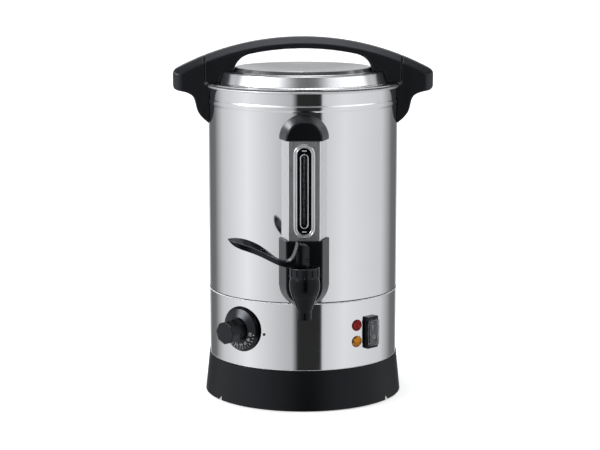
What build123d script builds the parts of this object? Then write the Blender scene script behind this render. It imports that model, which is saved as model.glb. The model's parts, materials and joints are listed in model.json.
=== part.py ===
"""Mulled wine boiler: a stainless pot over a heated base, with a sight gauge and a lever tap.

The origin is on the pot's axis at the surface that the boiler stands on.
+Z is up, the tap and gauge face -Y, and +X is to the right of someone facing the tap.
Lengths are in millimetres and angles in degrees.
"""
import os
from math import asin, atan, cos, degrees, radians, sin, sqrt, tan

from build123d import *

# Play and cuts shared by all pieces
nest_play = 0.2  # gap round a piece that sits inside another one
free_play = 0.3  # gap between pieces that move past each other
pin_play = 0.05  # radial gap of a running fit
overrun = 4.0  # how far a cut runs past the face that it opens
sheet = 0.8  # stainless sheet

# Pot and lower band
body_radius = 109.6
base_height = 46.0  # top of the plastic base
band_height = 78.5  # base to the seam under the pot
seam_bevel = 0.55  # each side of the groove at the seam
pot_height = 236.5  # seam to rim
floor_drop = 12.5  # pot floor below the seam
pot_corner_radius = 6.0
bead_drop = 19.0  # bead below the rim
bead_span = 7.2
bead_depth = 0.75
rim_roll_radius = 1.2

# Base skirt
base_top_proud = 0.8  # top of the base beyond the pot's wall
base_flare = 4.6  # foot of the base beyond its top
skirt_lift = 1.0
skirt_wall = 2.6
lip_bevel = 0.6
spigot_length = 8.0
notch_width = 3.0
notch_height = 4.8
notch_reach = 94.6  # upright side of each notch from the middle

# Bottom plate, its screws and the foot ring
plate_lift = 4.0
plate_thickness = 2.5
foot_inset = 23.0
foot_width = 8.0
foot_groove = 1.2
boss_inset = 6.4
boss_radius = 4.5
boss_rib = 2.4
boss_gap = 10.9  # top of the bosses below the base's ledge
boss_count = 4
boss_turn = 45
plate_screw_radius = 1.7
plate_screw_length = 12.0
plate_screw_head_radius = 3.2
plate_screw_head = 1.8
vent_share = 0.36  # of the foot ring's radius
vent_length = 22.0
vent_width = 4.0
vent_count = 10

# Heater under the pot
rod_radius = 3.0
rod_tail = 2.5  # rod end below the bottom plate
rod_collar_radius = 7.0
rod_collar = 1.5
rod_nut_radius = 5.5
rod_nut = 2.4
heater_inset = 31.6  # heater plate inside the pot's wall
heater_thickness = 5.0
heater_bore = 6.0
element_share = 2 / 3  # of the heater plate's radius
element_tube = 3.5
element_sweep = 320
element_pin = 2.0
element_pin_turn = 6
element_leg = 11.0
shield_inset = 10.0  # shield inside the heater plate's edge
shield_drop = 24.0  # shield below the heater plate
shield_rim = 6.0
shield_hole = 4.0
cutout_radius = 8.0
cutout_height = 9.0
cutout_share = 0.36  # of the heater plate's radius
cutout_tab = 7.0
cutout_tab_width = 6.3
bulb_radius = 3.0
bulb_length = 46.0
bulb_share = 0.385  # of the heater plate's radius
capillary_radius = 0.9
capillary_lead = 6.0  # straight length where it leaves the bulb and enters the thermostat
capillary_bend = 2.0

# Mains inlet at the back
block_width = 40.0
block_depth = 18.0
block_height = 16.0
block_inset = 30.0  # terminal block inside the foot ring
block_screw_radius = 3.0
block_screw_depth = 5.0
block_ways = 3
wire_radius = 1.2
wire_bend = 5.0
wire_level = 10.0  # lowest wire run above the terminal block
wire_step = 4.0
gland_bore = 3.6
gland_tube_radius = 6.0
gland_hex_radius = 10.0
gland_hex = 6.0
gland_tube = 12.0
gland_nut = 4.0

# Thermostat and its dial
dial_angle = -40.1
dial_lift = 43.6  # dial axis above the base
dial_radius = 26.0
dial_gap = 0.4  # between the wall and the back of the dial
dial_edge = 2.5
dial_bevel = 2.6  # how far the edge slopes in
dial_cone = 3.5
grip_root_radius = 14.6
grip_radius = 13.9
grip_length = 22.6
grip_sides = 8
grip_turn = -4  # of the grip's first corner from the dial's right
grip_taper = 1.5
grip_round = 1.2
shaft_radius = 3.0
shaft_depth = 14.0  # how far the shaft enters the dial's bore
bush_radius = 5.0
thermostat_width = 34.0
thermostat_height = 30.0
thermostat_depth = 26.0
thermostat_screw_span = 26.0
thermostat_screw_radius = 1.5
thermostat_screw_head_radius = 2.6
thermostat_screw_head = 1.3
thermostat_screw_length = 7.0
screw_clearance = 0.5  # between the screw heads and the groove in the dial's back
index_angle = -24.2
index_lift = 40.7
index_radius = 1.6
index_thickness = 0.5

# Indicator lamps
lamp_angle = 33.2
red_lamp_lift = 49.2
amber_lamp_lift = 30.4
lens_radius = 6.5
lens_rim = 0.7
lens_dome = 1.0
lens_dome_slant = 35
lens_stem_radius = 4.6
lens_stem = 7.0
lamp_body_radius = 5.4
lamp_body_length = 20.0

# Rocker switch and its splash cover
switch_angle = 43.7
switch_lift = 39.0
switch_width = 17.6
switch_length = 36.6
switch_corner = 1.2
bezel_depth = 4.0
window_width = 11.0
window_length = 24.0
switch_body_width = 12.6
switch_body_length = 28.6
switch_body_depth = 22.0
splash_depth = 3.9
splash_inset = 1.2
splash_end_inset = 3.6
splash_wall = 1.0
splash_corner = 2.0
rocker_travel = 16
rocker_pivot = 1.6  # pivot above the back of the bezel
rocker_thickness = 2.2
rocker_hub = 1.2

# Lid and its gasket
gasket_lift = 0.1
gasket_thickness = 1.4
gasket_skirt = 4.5
gasket_skirt_wall = 1.6
gasket_skirt_play = 0.5
lid_overhang = 0.6  # flange beyond the pot's wall
cone_base_inset = 11.6
shoulder_inset = 15.8
step_inset = 29.1
lip_inset = 31.6
dish_inset = 34.6
shoulder_rise = 15.3  # above the pot's rim
lip_rise = 19.9
dish_depth = 9.0
lid_bend = 1.4
step_bend = 0.8
lid_screw_inset = 22.6
lid_screw_spacing = 22.0
lid_screw_radius = 2.0
lid_screw_length = 10.0
lid_screw_head_radius = 4.0
lid_screw_head = 2.2

# Arched lid handle and the side handles that carry on its line
arch_rise = 54.5  # above the pot's rim
arch_radius = 313.5
arch_thickness = 13.0
window_inset = 29.6
window_round = 24.0
seam_overhang = 5.2  # joint of lid handle and side handles, beyond the pot's wall
seam_gap = 0.6
handle_overhang = 40.4
handle_end_rise = 12.0
handle_end_round = 9.0
grip_corner_overhang = 30.9
grip_corner_drop = 7.2
bracket_overhang = 16.9
bracket_drop = 13.5
heel_overhang = 11.9
heel_drop = 29.5
bracket_length = 44.0
handle_width = 40.0
handle_waist = 32.0
handle_bevel = 7.5
plan_round = 11.0
handle_screw_radius = 2.2
handle_screw_drops = (30.0, 10.0)
handle_screw_head_radius = 4.5
handle_screw_head = 2.6
handle_screw_length = 8.0

# Sight gauge on the front
gauge_depth = 20.4
gauge_half_width = 17.6
gauge_taper = 18
gauge_root_depth = 5.6  # where the tapered pieces start, inside the wall
gauge_bend = 1.2
cover_lift = 74.5  # above the seam
cover_height = 110.0
cap_proud = 0.8
cap_side_proud = 2.2
cap_rise = 1.3
cap_wall = 2.0
cap_round = 1.8
bezel_margin = 3.0
bezel_width = 23.5
bezel_face = 3.95
bezel_proud = 1.4
bezel_neck_wall = 1.2
bezel_neck = 3.0
panel_thickness = 2.4
panel_recess = 0.7
trim_side_inset = 2.9
trim_end_inset = 6.5
trim_face = 1.5
trim_proud = 0.5
tube_offset = 9.4
tube_radius = 4.5
tube_wall = 1.2
tube_rise = 11.0  # into the cap
seal_radius = 7.5
seal_height = 4.0

# Outlet through the pot's wall
outlet_lift = 30.5  # above the seam
outlet_bore = 5.0
nipple_radius = 8.0
nipple_inside = 12.0  # nipple length inside the pot's wall
outlet_block_radius = 10.5
port_radius = 7.6
port_rise = 13.0
port_depth = 7.0
washer_radius = 12.0
washer_thickness = 1.5
outlet_nut_radius = 13.5
outlet_nut_thickness = 5.0

# Tap housing below the gauge
housing_proud = 1.4
housing_side_proud = 2.4
housing_drop = 7.6  # centre of the round bottom below the outlet
housing_wall = 2.0

# Tap, with heights from the outlet's axis
tap_offset = 49.4  # tap axis beyond the pot's wall
inlet_radius = 7.0
locknut_radius = 12.5
locknut_thickness = 5.0
spout_radius = 7.3
spout_bore = 5.2
spout_drop = 37.4
spout_straight = 8.0
tap_waist_radius = 13.2
tap_waist_drop = 13.0
tap_belly_radius = 16.7
tap_belly_rise = 0.5
tap_shoulder_radius = 15.4
tap_top_rise = 9.0
chamber_radius = 11.5
chamber_drop = 7.0
bonnet_radius = 16.2
bonnet_height = 11.5
bonnet_bore = 8.2
bonnet_ledge = 6.6
bonnet_ledge_height = 6.0
bonnet_ledge_thickness = 2.0
bonnet_round = 0.8
flute_count = 12
flute_radius = 1.1
flute_length = 9.0

# Stem, cup and spring
stem_radius = 3.0
cup_radius = 9.0
cup_height = 7.0
cup_socket = 4.5
spring_seat_radius = 9.6
spring_seat = 1.4
spring_radius = 8.0
spring_wire = 0.6
spring_turns = 4
eye_radius = 3.6
eye_thickness = 5.0
cheek_drop = 1.2  # flats on the stem, below the bonnet's top
pin_radius = 2.0
pin_rise = 8.5  # above the bonnet

# Lever: reach along the arm from the tap's axis, and rise above the bonnet
lever_turn = 10.5  # lever forward of straight left
lever_head_width = 14.0
lever_back = 3.8
lever_head_rise = 21.5
lever_crown_reach = 4.5
lever_crown_rise = 25.3
lever_horn_reach = 8.2
lever_horn_rise = 28.5
lever_neck_reach = 22.0
lever_neck_rise = 7.5
lever_neck_thickness = 6.3
lever_middle_reach = 45.0
lever_middle_rise = 21.6
lever_middle_thickness = 9.7
lever_paddle_reach = 64.0
lever_paddle_rise = 31.2
lever_paddle_thickness = 10.7
lever_tip_reach = 84.0
lever_tip_rise = 33.8
lever_tip_setback = 3.4  # of the underside behind the tip
lever_tip_thickness = 5.0
lever_waist_reach = 29.0
lever_waist_width = 11.0
lever_paddle_width = 18.0
lever_slot_half = 7.0
lever_slot_rise = 15.5

# Heights and reaches that follow from the sizes above
inner_radius = body_radius - sheet
joggle_radius = inner_radius - nest_play
rim_radius = inner_radius + 2 * rim_roll_radius
seam_height = base_height + band_height
floor_height = seam_height - floor_drop
rim_height = seam_height + pot_height
bead_height = rim_height - bead_drop
plate_top = plate_lift + plate_thickness
base_top_radius = body_radius + base_top_proud
base_radius = base_top_radius + base_flare
foot_radius = base_radius - foot_inset
vent_reach = vent_share * foot_radius
block_reach = foot_radius - block_inset
boss_circle = base_top_radius - boss_inset
boss_length = base_height - skirt_wall - boss_gap - plate_top
heater_radius = body_radius - heater_inset
element_radius = element_share * heater_radius
shield_radius = heater_radius - shield_inset
cutout_reach = cutout_share * heater_radius
bulb_reach = bulb_share * heater_radius
heater_bottom = floor_height - heater_thickness
element_height = heater_bottom - element_tube - nest_play
element_pin_angles = (element_pin_turn, element_sweep - element_pin_turn)
element_pins = [
    (element_radius * cos(radians(angle)), element_radius * sin(radians(angle)))
    for angle in element_pin_angles
]
shield_height = heater_bottom - shield_drop
gland_height = skirt_lift + base_height / 2
dial_height = base_height + dial_lift
dial_back = body_radius + dial_gap
lamp_heights = {
    "red_lamp_lens": base_height + red_lamp_lift,
    "amber_lamp_lens": base_height + amber_lamp_lift,
}
switch_height = base_height + switch_lift
switch_back = body_radius + pin_play
gasket_bottom = rim_height + gasket_lift
gasket_top = gasket_bottom + gasket_thickness
flange_top = gasket_top + gasket_lift + sheet
lid_radius = body_radius + lid_overhang
shoulder_height = rim_height + shoulder_rise
lip_height = rim_height + lip_rise
dish_edge_radius = body_radius - dish_inset
lid_bends = [lid_bend, lid_bend, step_bend, step_bend]
lid_screw_circle = body_radius - lid_screw_inset
handle_top = rim_height + arch_rise
window_half = body_radius - window_inset
seam_radius = body_radius + seam_overhang
handle_reach = body_radius + handle_overhang
handle_root = body_radius - overrun
bracket_foot = rim_height - bracket_length
handle_screw_heights = [rim_height - drop for drop in handle_screw_drops]
gauge_front = body_radius + gauge_depth
gauge_root = body_radius - gauge_root_depth
gauge_slope = tan(radians(gauge_taper))
cover_bottom = seam_height + cover_lift
cover_top = cover_bottom + cover_height
gauge_height = cover_bottom + cover_height / 2
cap_front = gauge_front + cap_proud
cap_radius = gauge_half_width + cap_side_proud
bezel_length = cover_height - 2 * bezel_margin
panel_width = bezel_width - 2 * bezel_face
panel_length = bezel_length - 2 * bezel_face
panel_face = gauge_front + bezel_proud - panel_recess
trim_width = panel_width - 2 * trim_side_inset
trim_length = panel_length - 2 * trim_end_inset
slot_width = trim_width - 2 * trim_face
slot_length = trim_length - 2 * trim_face
neck_width = panel_width + 2 * (nest_play + bezel_neck_wall)
neck_length = panel_length + 2 * (nest_play + bezel_neck_wall)
outlet_height = seam_height + outlet_lift
port_height = outlet_height + port_rise
tube_reach = body_radius + tube_offset
tube_bottom = port_height - port_depth
tube_top = cover_top + tube_rise
housing_front = gauge_front + housing_proud
housing_radius = gauge_half_width + housing_side_proud
housing_centre = outlet_height - housing_drop
block_back = body_radius + nest_play + washer_thickness
block_front = housing_front - housing_wall - nest_play
tap_reach = body_radius + tap_offset
tap_top = outlet_height + tap_top_rise
spout_height = outlet_height - spout_drop
chamber_floor = outlet_height - chamber_drop
bonnet_top = tap_top + bonnet_height
ledge_top = tap_top + bonnet_ledge_height + bonnet_ledge_thickness
cup_top = chamber_floor + cup_height
pin_height = bonnet_top + pin_rise
axis_of_tap = Axis((0, -tap_reach, 0), (0, 0, 1))


def skirt_outside(height):
    """Radius of the base's sloping outside at a height."""
    share = (height - skirt_lift) / (base_height - skirt_lift)
    return base_radius + (base_top_radius - base_radius) * share


def skirt_inside(height):
    return skirt_outside(height) - skirt_wall


def arch_height(reach, radius):
    """Height of an arc round the arch's centre, at a distance from the pot's axis."""
    return handle_top - arch_radius + sqrt(radius**2 - reach**2)


def radial_plane(angle, height, radius):
    """Plane that faces straight out of the wall, at an angle from the front towards +X."""
    turn = radians(angle)
    return Plane(
        origin=(radius * sin(turn), -radius * cos(turn), height),
        x_dir=(cos(turn), sin(turn), 0),
        z_dir=(sin(turn), -cos(turn), 0),
    )


def flat_inside(half_width):
    """Distance from the axis at which a flat face of this half width meets the wall's inside."""
    return sqrt(inner_radius**2 - half_width**2) - nest_play


def lid_line_points(grow):
    """Corners of the lid's top line from the rim in to the dish, moved out by a gap."""
    return (
        (lid_radius + grow, flange_top + grow),
        (body_radius - cone_base_inset + grow, flange_top + grow),
        (body_radius - shoulder_inset + grow, shoulder_height + grow),
        (body_radius - step_inset + grow, shoulder_height + grow),
        (body_radius - lip_inset + grow, lip_height + grow),
        (dish_edge_radius, lip_height + grow),
    )


def save(piece, name):
    piece.part.label = name
    export_step(piece.part, f"parts/{name}.step")


os.makedirs("parts", exist_ok=True)

# Pot: one drawn shell with a joggle at the seam, a stiffening bead and a rolled rim
with BuildPart() as pot:
    with BuildSketch(Plane.XZ):
        with BuildLine():
            corner_reach = joggle_radius - pot_corner_radius
            bead_low = bead_height - bead_span / 2
            bead_high = bead_height + bead_span / 2
            Line((0, floor_height), (corner_reach, floor_height))
            CenterArc((corner_reach, floor_height + pot_corner_radius), pot_corner_radius, -90, 90)
            Polyline(
                (joggle_radius, floor_height + pot_corner_radius),
                (joggle_radius, seam_height),
                (body_radius - seam_bevel, seam_height),
                (body_radius, seam_height + seam_bevel),
                (body_radius, bead_low),
            )
            ThreePointArc(
                (body_radius, bead_low),
                (body_radius + bead_depth, bead_height),
                (body_radius, bead_high),
            )
            Line((body_radius, bead_high), (body_radius, rim_height - rim_roll_radius))
            offset(amount=sheet, side=Side.LEFT)
        make_face()
    revolve(axis=Axis.Z)
    with BuildSketch(Plane.XZ):
        with Locations((inner_radius + rim_roll_radius, rim_height - rim_roll_radius)):
            Circle(rim_roll_radius)
    revolve(axis=Axis.Z)
    with BuildSketch(Plane.XZ.offset(inner_radius - overrun)):
        with Locations((0, outlet_height)):
            Circle(nipple_radius + nest_play)
    extrude(amount=2 * overrun, mode=Mode.SUBTRACT)
    for side in (-1, 1):
        with BuildSketch(Plane.YZ.offset(side * (inner_radius - overrun))):
            for screw_height in handle_screw_heights:
                with Locations((0, screw_height)):
                    Circle(handle_screw_radius + nest_play)
        extrude(amount=side * 2 * overrun, mode=Mode.SUBTRACT)
save(pot, "pot")

# Lower band: the steel sleeve that carries the controls
with BuildPart() as lower_band:
    with BuildSketch(Plane.XY.offset(base_height)):
        Circle(body_radius)
        Circle(inner_radius, mode=Mode.SUBTRACT)
    extrude(amount=seam_height - base_height)
    top_edges = edges().group_by(Axis.Z)[-1].sort_by(SortBy.LENGTH)
    chamfer(top_edges[-1], seam_bevel)
    band_cut = radial_plane(dial_angle, dial_height, inner_radius - overrun)
    with BuildSketch(band_cut):
        Circle(bush_radius + nest_play)
        with GridLocations(thermostat_screw_span, 0, 2, 1):
            Circle(thermostat_screw_radius + nest_play)
    extrude(amount=2 * overrun, mode=Mode.SUBTRACT)
    for lamp_height in lamp_heights.values():
        with BuildSketch(radial_plane(lamp_angle, lamp_height, inner_radius - overrun)):
            Circle(lens_stem_radius + nest_play)
        extrude(amount=2 * overrun, mode=Mode.SUBTRACT)
    with BuildSketch(radial_plane(switch_angle, switch_height, inner_radius - overrun)):
        Rectangle(switch_body_width + 2 * nest_play, switch_body_length + 2 * nest_play)
    extrude(amount=2 * overrun, mode=Mode.SUBTRACT)
save(lower_band, "lower_band")

# Base skirt: ribbed screw bosses trimmed to the wall, then the wall, spigot and edge notches
with BuildPart() as base_skirt:
    with BuildSketch(Plane.XY.offset(plate_top)):
        with PolarLocations(boss_circle, boss_count, start_angle=boss_turn):
            Circle(boss_radius)
            Rectangle(base_radius - boss_circle, boss_rib, align=(Align.MIN, Align.CENTER))
    extrude(amount=boss_length)
    with BuildSketch(Plane.XZ):
        with BuildLine():
            Polyline(
                (0, skirt_lift),
                (base_radius - skirt_wall / 2, skirt_lift),
                (base_top_radius - skirt_wall / 2, base_height),
                (0, base_height),
                close=True,
            )
        make_face()
    revolve(axis=Axis.Z, mode=Mode.INTERSECT)
    with BuildSketch(Plane.XZ):
        with BuildLine():
            ledge_height = base_height - skirt_wall
            Polyline(
                (base_radius, skirt_lift),
                (base_top_radius, base_height - lip_bevel),
                (base_top_radius - lip_bevel, base_height),
                (joggle_radius, base_height),
                (joggle_radius, base_height + spigot_length),
                (joggle_radius - skirt_wall, base_height + spigot_length),
                (joggle_radius - skirt_wall, ledge_height),
                (skirt_inside(ledge_height), ledge_height),
                (skirt_inside(skirt_lift), skirt_lift),
                close=True,
            )
        make_face()
    revolve(axis=Axis.Z)
    with BuildSketch(Plane.XY.offset(plate_top)):
        with PolarLocations(boss_circle, boss_count, start_angle=boss_turn):
            Circle(plate_screw_radius + nest_play)
    extrude(amount=boss_length - skirt_wall, mode=Mode.SUBTRACT)
    for side in (-1, 1):
        with BuildSketch(Plane.XZ):
            with BuildLine():
                Polyline(
                    (side * notch_reach, skirt_lift - overrun),
                    (side * notch_reach, skirt_lift + notch_height),
                    (side * (notch_reach + notch_width), skirt_lift),
                    (side * (notch_reach + notch_width), skirt_lift - overrun),
                    close=True,
                )
            make_face()
        extrude(amount=base_radius, both=True, mode=Mode.SUBTRACT)
    with BuildSketch(radial_plane(180, gland_height, base_radius + overrun)):
        Circle(gland_tube_radius + nest_play)
    extrude(amount=-(base_flare + skirt_wall + 2 * overrun), mode=Mode.SUBTRACT)
save(base_skirt, "base_skirt")

# Bottom plate with vents and the groove for the foot ring
with BuildPart() as bottom_plate:
    with BuildSketch(Plane.XY.offset(plate_lift)):
        Circle(skirt_inside(plate_top) - nest_play)
        Circle(rod_radius + nest_play, mode=Mode.SUBTRACT)
        with PolarLocations(boss_circle, boss_count, start_angle=boss_turn):
            Circle(plate_screw_radius + nest_play, mode=Mode.SUBTRACT)
        with PolarLocations(vent_reach, vent_count):
            SlotOverall(vent_length, vent_width, mode=Mode.SUBTRACT)
    extrude(amount=plate_thickness)
    with BuildSketch(Plane.XY.offset(plate_lift)):
        Circle(foot_radius + foot_width / 2 + nest_play)
        Circle(foot_radius - foot_width / 2 - nest_play, mode=Mode.SUBTRACT)
    extrude(amount=foot_groove, mode=Mode.SUBTRACT)
save(bottom_plate, "bottom_plate")

with BuildPart() as foot_ring:
    with BuildSketch(Plane.XY):
        Circle(foot_radius + foot_width / 2)
        Circle(foot_radius - foot_width / 2, mode=Mode.SUBTRACT)
    extrude(amount=plate_lift + foot_groove)
save(foot_ring, "foot_ring")

with BuildPart() as bottom_screws:
    with PolarLocations(boss_circle, boss_count, start_angle=boss_turn):
        with Locations((0, 0, plate_lift)):
            Cylinder(
                plate_screw_head_radius,
                plate_screw_head,
                align=(Align.CENTER, Align.CENTER, Align.MAX),
            )
            Cylinder(
                plate_screw_radius,
                plate_thickness + plate_screw_length,
                align=(Align.CENTER, Align.CENTER, Align.MIN),
            )
save(bottom_screws, "bottom_screws")

# Tie rod from the pot's floor to the bottom plate, with its nut
with BuildPart() as tie_rod:
    with BuildSketch(Plane.XY.offset(plate_lift - rod_tail)):
        Circle(rod_radius)
    extrude(amount=floor_height - plate_lift + rod_tail)
    with BuildSketch(Plane.XY.offset(shield_height - rod_collar)):
        Circle(rod_collar_radius)
    extrude(amount=rod_collar)
save(tie_rod, "tie_rod")

with BuildPart() as tie_rod_nut:
    with BuildSketch(Plane.XY.offset(plate_lift - rod_nut)):
        RegularPolygon(rod_nut_radius, 6)
        Circle(rod_radius + nest_play, mode=Mode.SUBTRACT)
    extrude(amount=rod_nut)
save(tie_rod_nut, "tie_rod_nut")

# Heater plate, element, heat shield and thermal cut-out
with BuildPart() as heater_plate:
    with BuildSketch(Plane.XY.offset(heater_bottom)):
        Circle(heater_radius)
        Circle(heater_bore, mode=Mode.SUBTRACT)
    extrude(amount=heater_thickness)
save(heater_plate, "heater_plate")

with BuildPart() as heating_element:
    with BuildSketch(Plane.XZ):
        with Locations((element_radius, element_height)):
            Circle(element_tube)
    revolve(axis=Axis.Z, revolution_arc=element_sweep)
    for pin_x, pin_y in element_pins:
        with Locations((pin_x, pin_y, element_height)):
            Cylinder(element_pin, element_leg, align=(Align.CENTER, Align.CENTER, Align.MAX))
save(heating_element, "heating_element")

with BuildPart() as heat_shield:
    with BuildSketch(Plane.XY.offset(shield_height)):
        Circle(shield_radius)
        Circle(rod_radius + nest_play, mode=Mode.SUBTRACT)
        with Locations(*element_pins):
            Circle(shield_hole, mode=Mode.SUBTRACT)
    extrude(amount=sheet)
    with BuildSketch(Plane.XY.offset(shield_height)):
        Circle(shield_radius)
        Circle(shield_radius - sheet, mode=Mode.SUBTRACT)
    extrude(amount=shield_rim)
save(heat_shield, "heat_shield")

with BuildPart() as thermal_cutout:
    with Locations((0, cutout_reach, heater_bottom)):
        Cylinder(cutout_radius, cutout_height, align=(Align.CENTER, Align.CENTER, Align.MAX))
    with Locations((0, cutout_reach, heater_bottom - cutout_height)):
        with GridLocations(cutout_radius, 0, 2, 1):
            Box(sheet, cutout_tab_width, cutout_tab, align=(Align.CENTER, Align.CENTER, Align.MAX))
save(thermal_cutout, "thermal_cutout")

# Terminal block on the bottom plate
with BuildPart() as terminal_block:
    with BuildSketch(Plane.XY.offset(plate_top)):
        with Locations((0, block_reach)):
            Rectangle(block_width, block_depth)
    extrude(amount=block_height)
    with BuildSketch(Plane.XY.offset(plate_top + block_height)):
        with Locations((0, block_reach)):
            with GridLocations(block_width / block_ways, block_depth / 2, block_ways, 2):
                Circle(block_screw_radius)
    extrude(amount=-block_screw_depth, mode=Mode.SUBTRACT)
save(terminal_block, "terminal_block")

# Cord gland through the back of the base, and its nut
gland_seat = skirt_outside(gland_height - gland_hex_radius) + pin_play
gland_plane = radial_plane(180, gland_height, gland_seat)
with BuildPart() as cord_gland:
    with BuildSketch(gland_plane):
        RegularPolygon(gland_hex_radius, 6)
    extrude(amount=gland_hex)
    with BuildSketch(gland_plane):
        Circle(gland_tube_radius)
    extrude(amount=-gland_tube)
    with BuildSketch(gland_plane.offset(gland_hex)):
        Circle(gland_bore)
    extrude(amount=-(gland_hex + gland_tube), mode=Mode.SUBTRACT)
save(cord_gland, "cord_gland")

with BuildPart() as cord_gland_nut:
    nut_wall = skirt_inside(gland_height + gland_hex_radius)
    nut_seat = sqrt(nut_wall**2 - gland_hex_radius**2) - nest_play
    with BuildSketch(radial_plane(180, gland_height, nut_seat)):
        RegularPolygon(gland_hex_radius, 6)
        Circle(gland_tube_radius + nest_play, mode=Mode.SUBTRACT)
    extrude(amount=-gland_nut)
save(cord_gland_nut, "cord_gland_nut")

# Thermostat behind the band, with the bush that its shaft turns in
thermostat_front = flat_inside(thermostat_width / 2)
with BuildPart() as thermostat_body:
    with BuildSketch(radial_plane(dial_angle, dial_height, thermostat_front)):
        Rectangle(thermostat_width, thermostat_height)
    extrude(amount=-thermostat_depth)
    with BuildSketch(radial_plane(dial_angle, dial_height, thermostat_front)):
        Circle(bush_radius)
    extrude(amount=body_radius - thermostat_front + dial_gap / 2)
    with BuildSketch(radial_plane(dial_angle, dial_height, dial_back)):
        Circle(shaft_radius + pin_play)
    extrude(amount=-(dial_back - thermostat_front + thermostat_depth / 2), mode=Mode.SUBTRACT)
    with BuildSketch(radial_plane(dial_angle, dial_height, thermostat_front)):
        with GridLocations(thermostat_screw_span, 0, 2, 1):
            Circle(thermostat_screw_radius + nest_play)
    extrude(amount=-thermostat_screw_length, mode=Mode.SUBTRACT)
save(thermostat_body, "thermostat_body")

with BuildPart() as thermostat_screws:
    screw_face = sqrt(body_radius**2 - (thermostat_screw_span / 2 - thermostat_screw_head_radius) ** 2)
    with BuildSketch(radial_plane(dial_angle, dial_height, screw_face)):
        with GridLocations(thermostat_screw_span, 0, 2, 1):
            Circle(thermostat_screw_head_radius)
    extrude(amount=thermostat_screw_head)
    with BuildSketch(radial_plane(dial_angle, dial_height, screw_face)):
        with GridLocations(thermostat_screw_span, 0, 2, 1):
            Circle(thermostat_screw_radius)
    extrude(amount=-thermostat_screw_length)
save(thermostat_screws, "thermostat_screws")

with BuildPart() as thermostat_shaft:
    with BuildSketch(radial_plane(dial_angle, dial_height, dial_back + shaft_depth)):
        Circle(shaft_radius)
    extrude(amount=-(dial_back + shaft_depth - thermostat_front + thermostat_depth / 2 - free_play))
save(thermostat_shaft, "thermostat_shaft")

# Bulb under the heater plate and its capillary tube to the thermostat
with BuildPart() as thermostat_bulb:
    bulb_height = heater_bottom - bulb_radius - nest_play
    bulb_end = Vector(-bulb_length / 2, -bulb_reach, bulb_height)
    thermostat_rear = radial_plane(dial_angle, dial_height, thermostat_front - thermostat_depth)
    under_element = heater_bottom - element_leg - 2 * capillary_radius
    dip_plane = radial_plane(dial_angle, under_element, element_radius)
    with BuildSketch(Plane.YZ.offset(-bulb_length / 2)):
        with Locations((-bulb_reach, bulb_height)):
            Circle(bulb_radius)
    extrude(amount=bulb_length)
    with BuildLine() as capillary_line:
        FilletPolyline(
            bulb_end,
            bulb_end - Vector(capillary_lead, 0, 0),
            dip_plane.origin,
            thermostat_rear.offset(-capillary_lead).origin,
            thermostat_rear.origin,
            radius=capillary_bend,
        )
    with BuildSketch(capillary_line.line ^ 0):
        Circle(capillary_radius)
    sweep(path=capillary_line.line)
save(thermostat_bulb, "thermostat_bulb")

# Dial: a skirted knob with an eight-sided grip
with BuildPart() as thermostat_knob:
    dial_plane = radial_plane(dial_angle, dial_height, dial_back)
    grip_length_in = shaft_depth + nest_play
    with BuildSketch(dial_plane):
        Circle(dial_radius)
    extrude(amount=dial_edge, taper=degrees(atan(dial_bevel / dial_edge)))
    cone_slant = degrees(atan((dial_radius - dial_bevel - grip_root_radius) / dial_cone))
    with BuildSketch(dial_plane.offset(dial_edge)):
        Circle(dial_radius - dial_bevel)
    extrude(amount=dial_cone, taper=cone_slant)
    with BuildSketch(dial_plane.offset(dial_edge)):
        RegularPolygon(grip_radius, grip_sides, rotation=grip_turn)
    extrude(amount=dial_cone + grip_length, taper=grip_taper)
    grip_end = dial_plane.offset(dial_edge + dial_cone + grip_length)
    fillet(faces().sort_by_distance(grip_end.origin)[0].edges(), grip_round)
    with BuildSketch(dial_plane):
        Circle(shaft_radius + nest_play)
    extrude(amount=grip_length_in, mode=Mode.SUBTRACT)
    groove_half = thermostat_screw_head_radius + screw_clearance
    with BuildSketch(dial_plane):
        Circle(thermostat_screw_span / 2 + groove_half)
        Circle(thermostat_screw_span / 2 - groove_half, mode=Mode.SUBTRACT)
    extrude(amount=screw_face + thermostat_screw_head + screw_clearance - dial_back, mode=Mode.SUBTRACT)
save(thermostat_knob, "thermostat_knob")

with BuildPart() as dial_index:
    with BuildSketch(radial_plane(index_angle, base_height + index_lift, body_radius + pin_play)):
        Circle(index_radius)
    extrude(amount=index_thickness)
save(dial_index, "dial_index")

# Indicator lamps: lenses outside, bodies inside
for lens_name, lamp_height in lamp_heights.items():
    lens_plane = radial_plane(lamp_angle, lamp_height, body_radius + pin_play)
    with BuildPart() as lamp_lens:
        with BuildSketch(lens_plane):
            Circle(lens_radius)
        extrude(amount=lens_rim)
        with BuildSketch(lens_plane.offset(lens_rim)):
            Circle(lens_radius - lens_rim / 2)
        extrude(amount=lens_dome, taper=lens_dome_slant)
        with BuildSketch(lens_plane):
            Circle(lens_stem_radius)
        extrude(amount=-lens_stem)
    save(lamp_lens, lens_name)

with BuildPart() as lamp_bodies:
    for lamp_height in lamp_heights.values():
        with BuildSketch(radial_plane(lamp_angle, lamp_height, body_radius + pin_play - lens_stem)):
            Circle(lamp_body_radius)
        extrude(amount=-lamp_body_length)
save(lamp_bodies, "lamp_bodies")

# Switch: bezel outside, body behind it, rocker and clear splash cover
switch_plane = radial_plane(switch_angle, switch_height, switch_back)
with BuildPart() as switch_bezel:
    with BuildSketch(switch_plane):
        RectangleRounded(switch_width, switch_length, switch_corner)
        Rectangle(window_width, window_length, mode=Mode.SUBTRACT)
    extrude(amount=bezel_depth)
save(switch_bezel, "switch_bezel")

with BuildPart() as switch_body:
    with BuildSketch(switch_plane):
        Rectangle(switch_body_width, switch_body_length)
    extrude(amount=-switch_body_depth)
save(switch_body, "switch_body")

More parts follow.
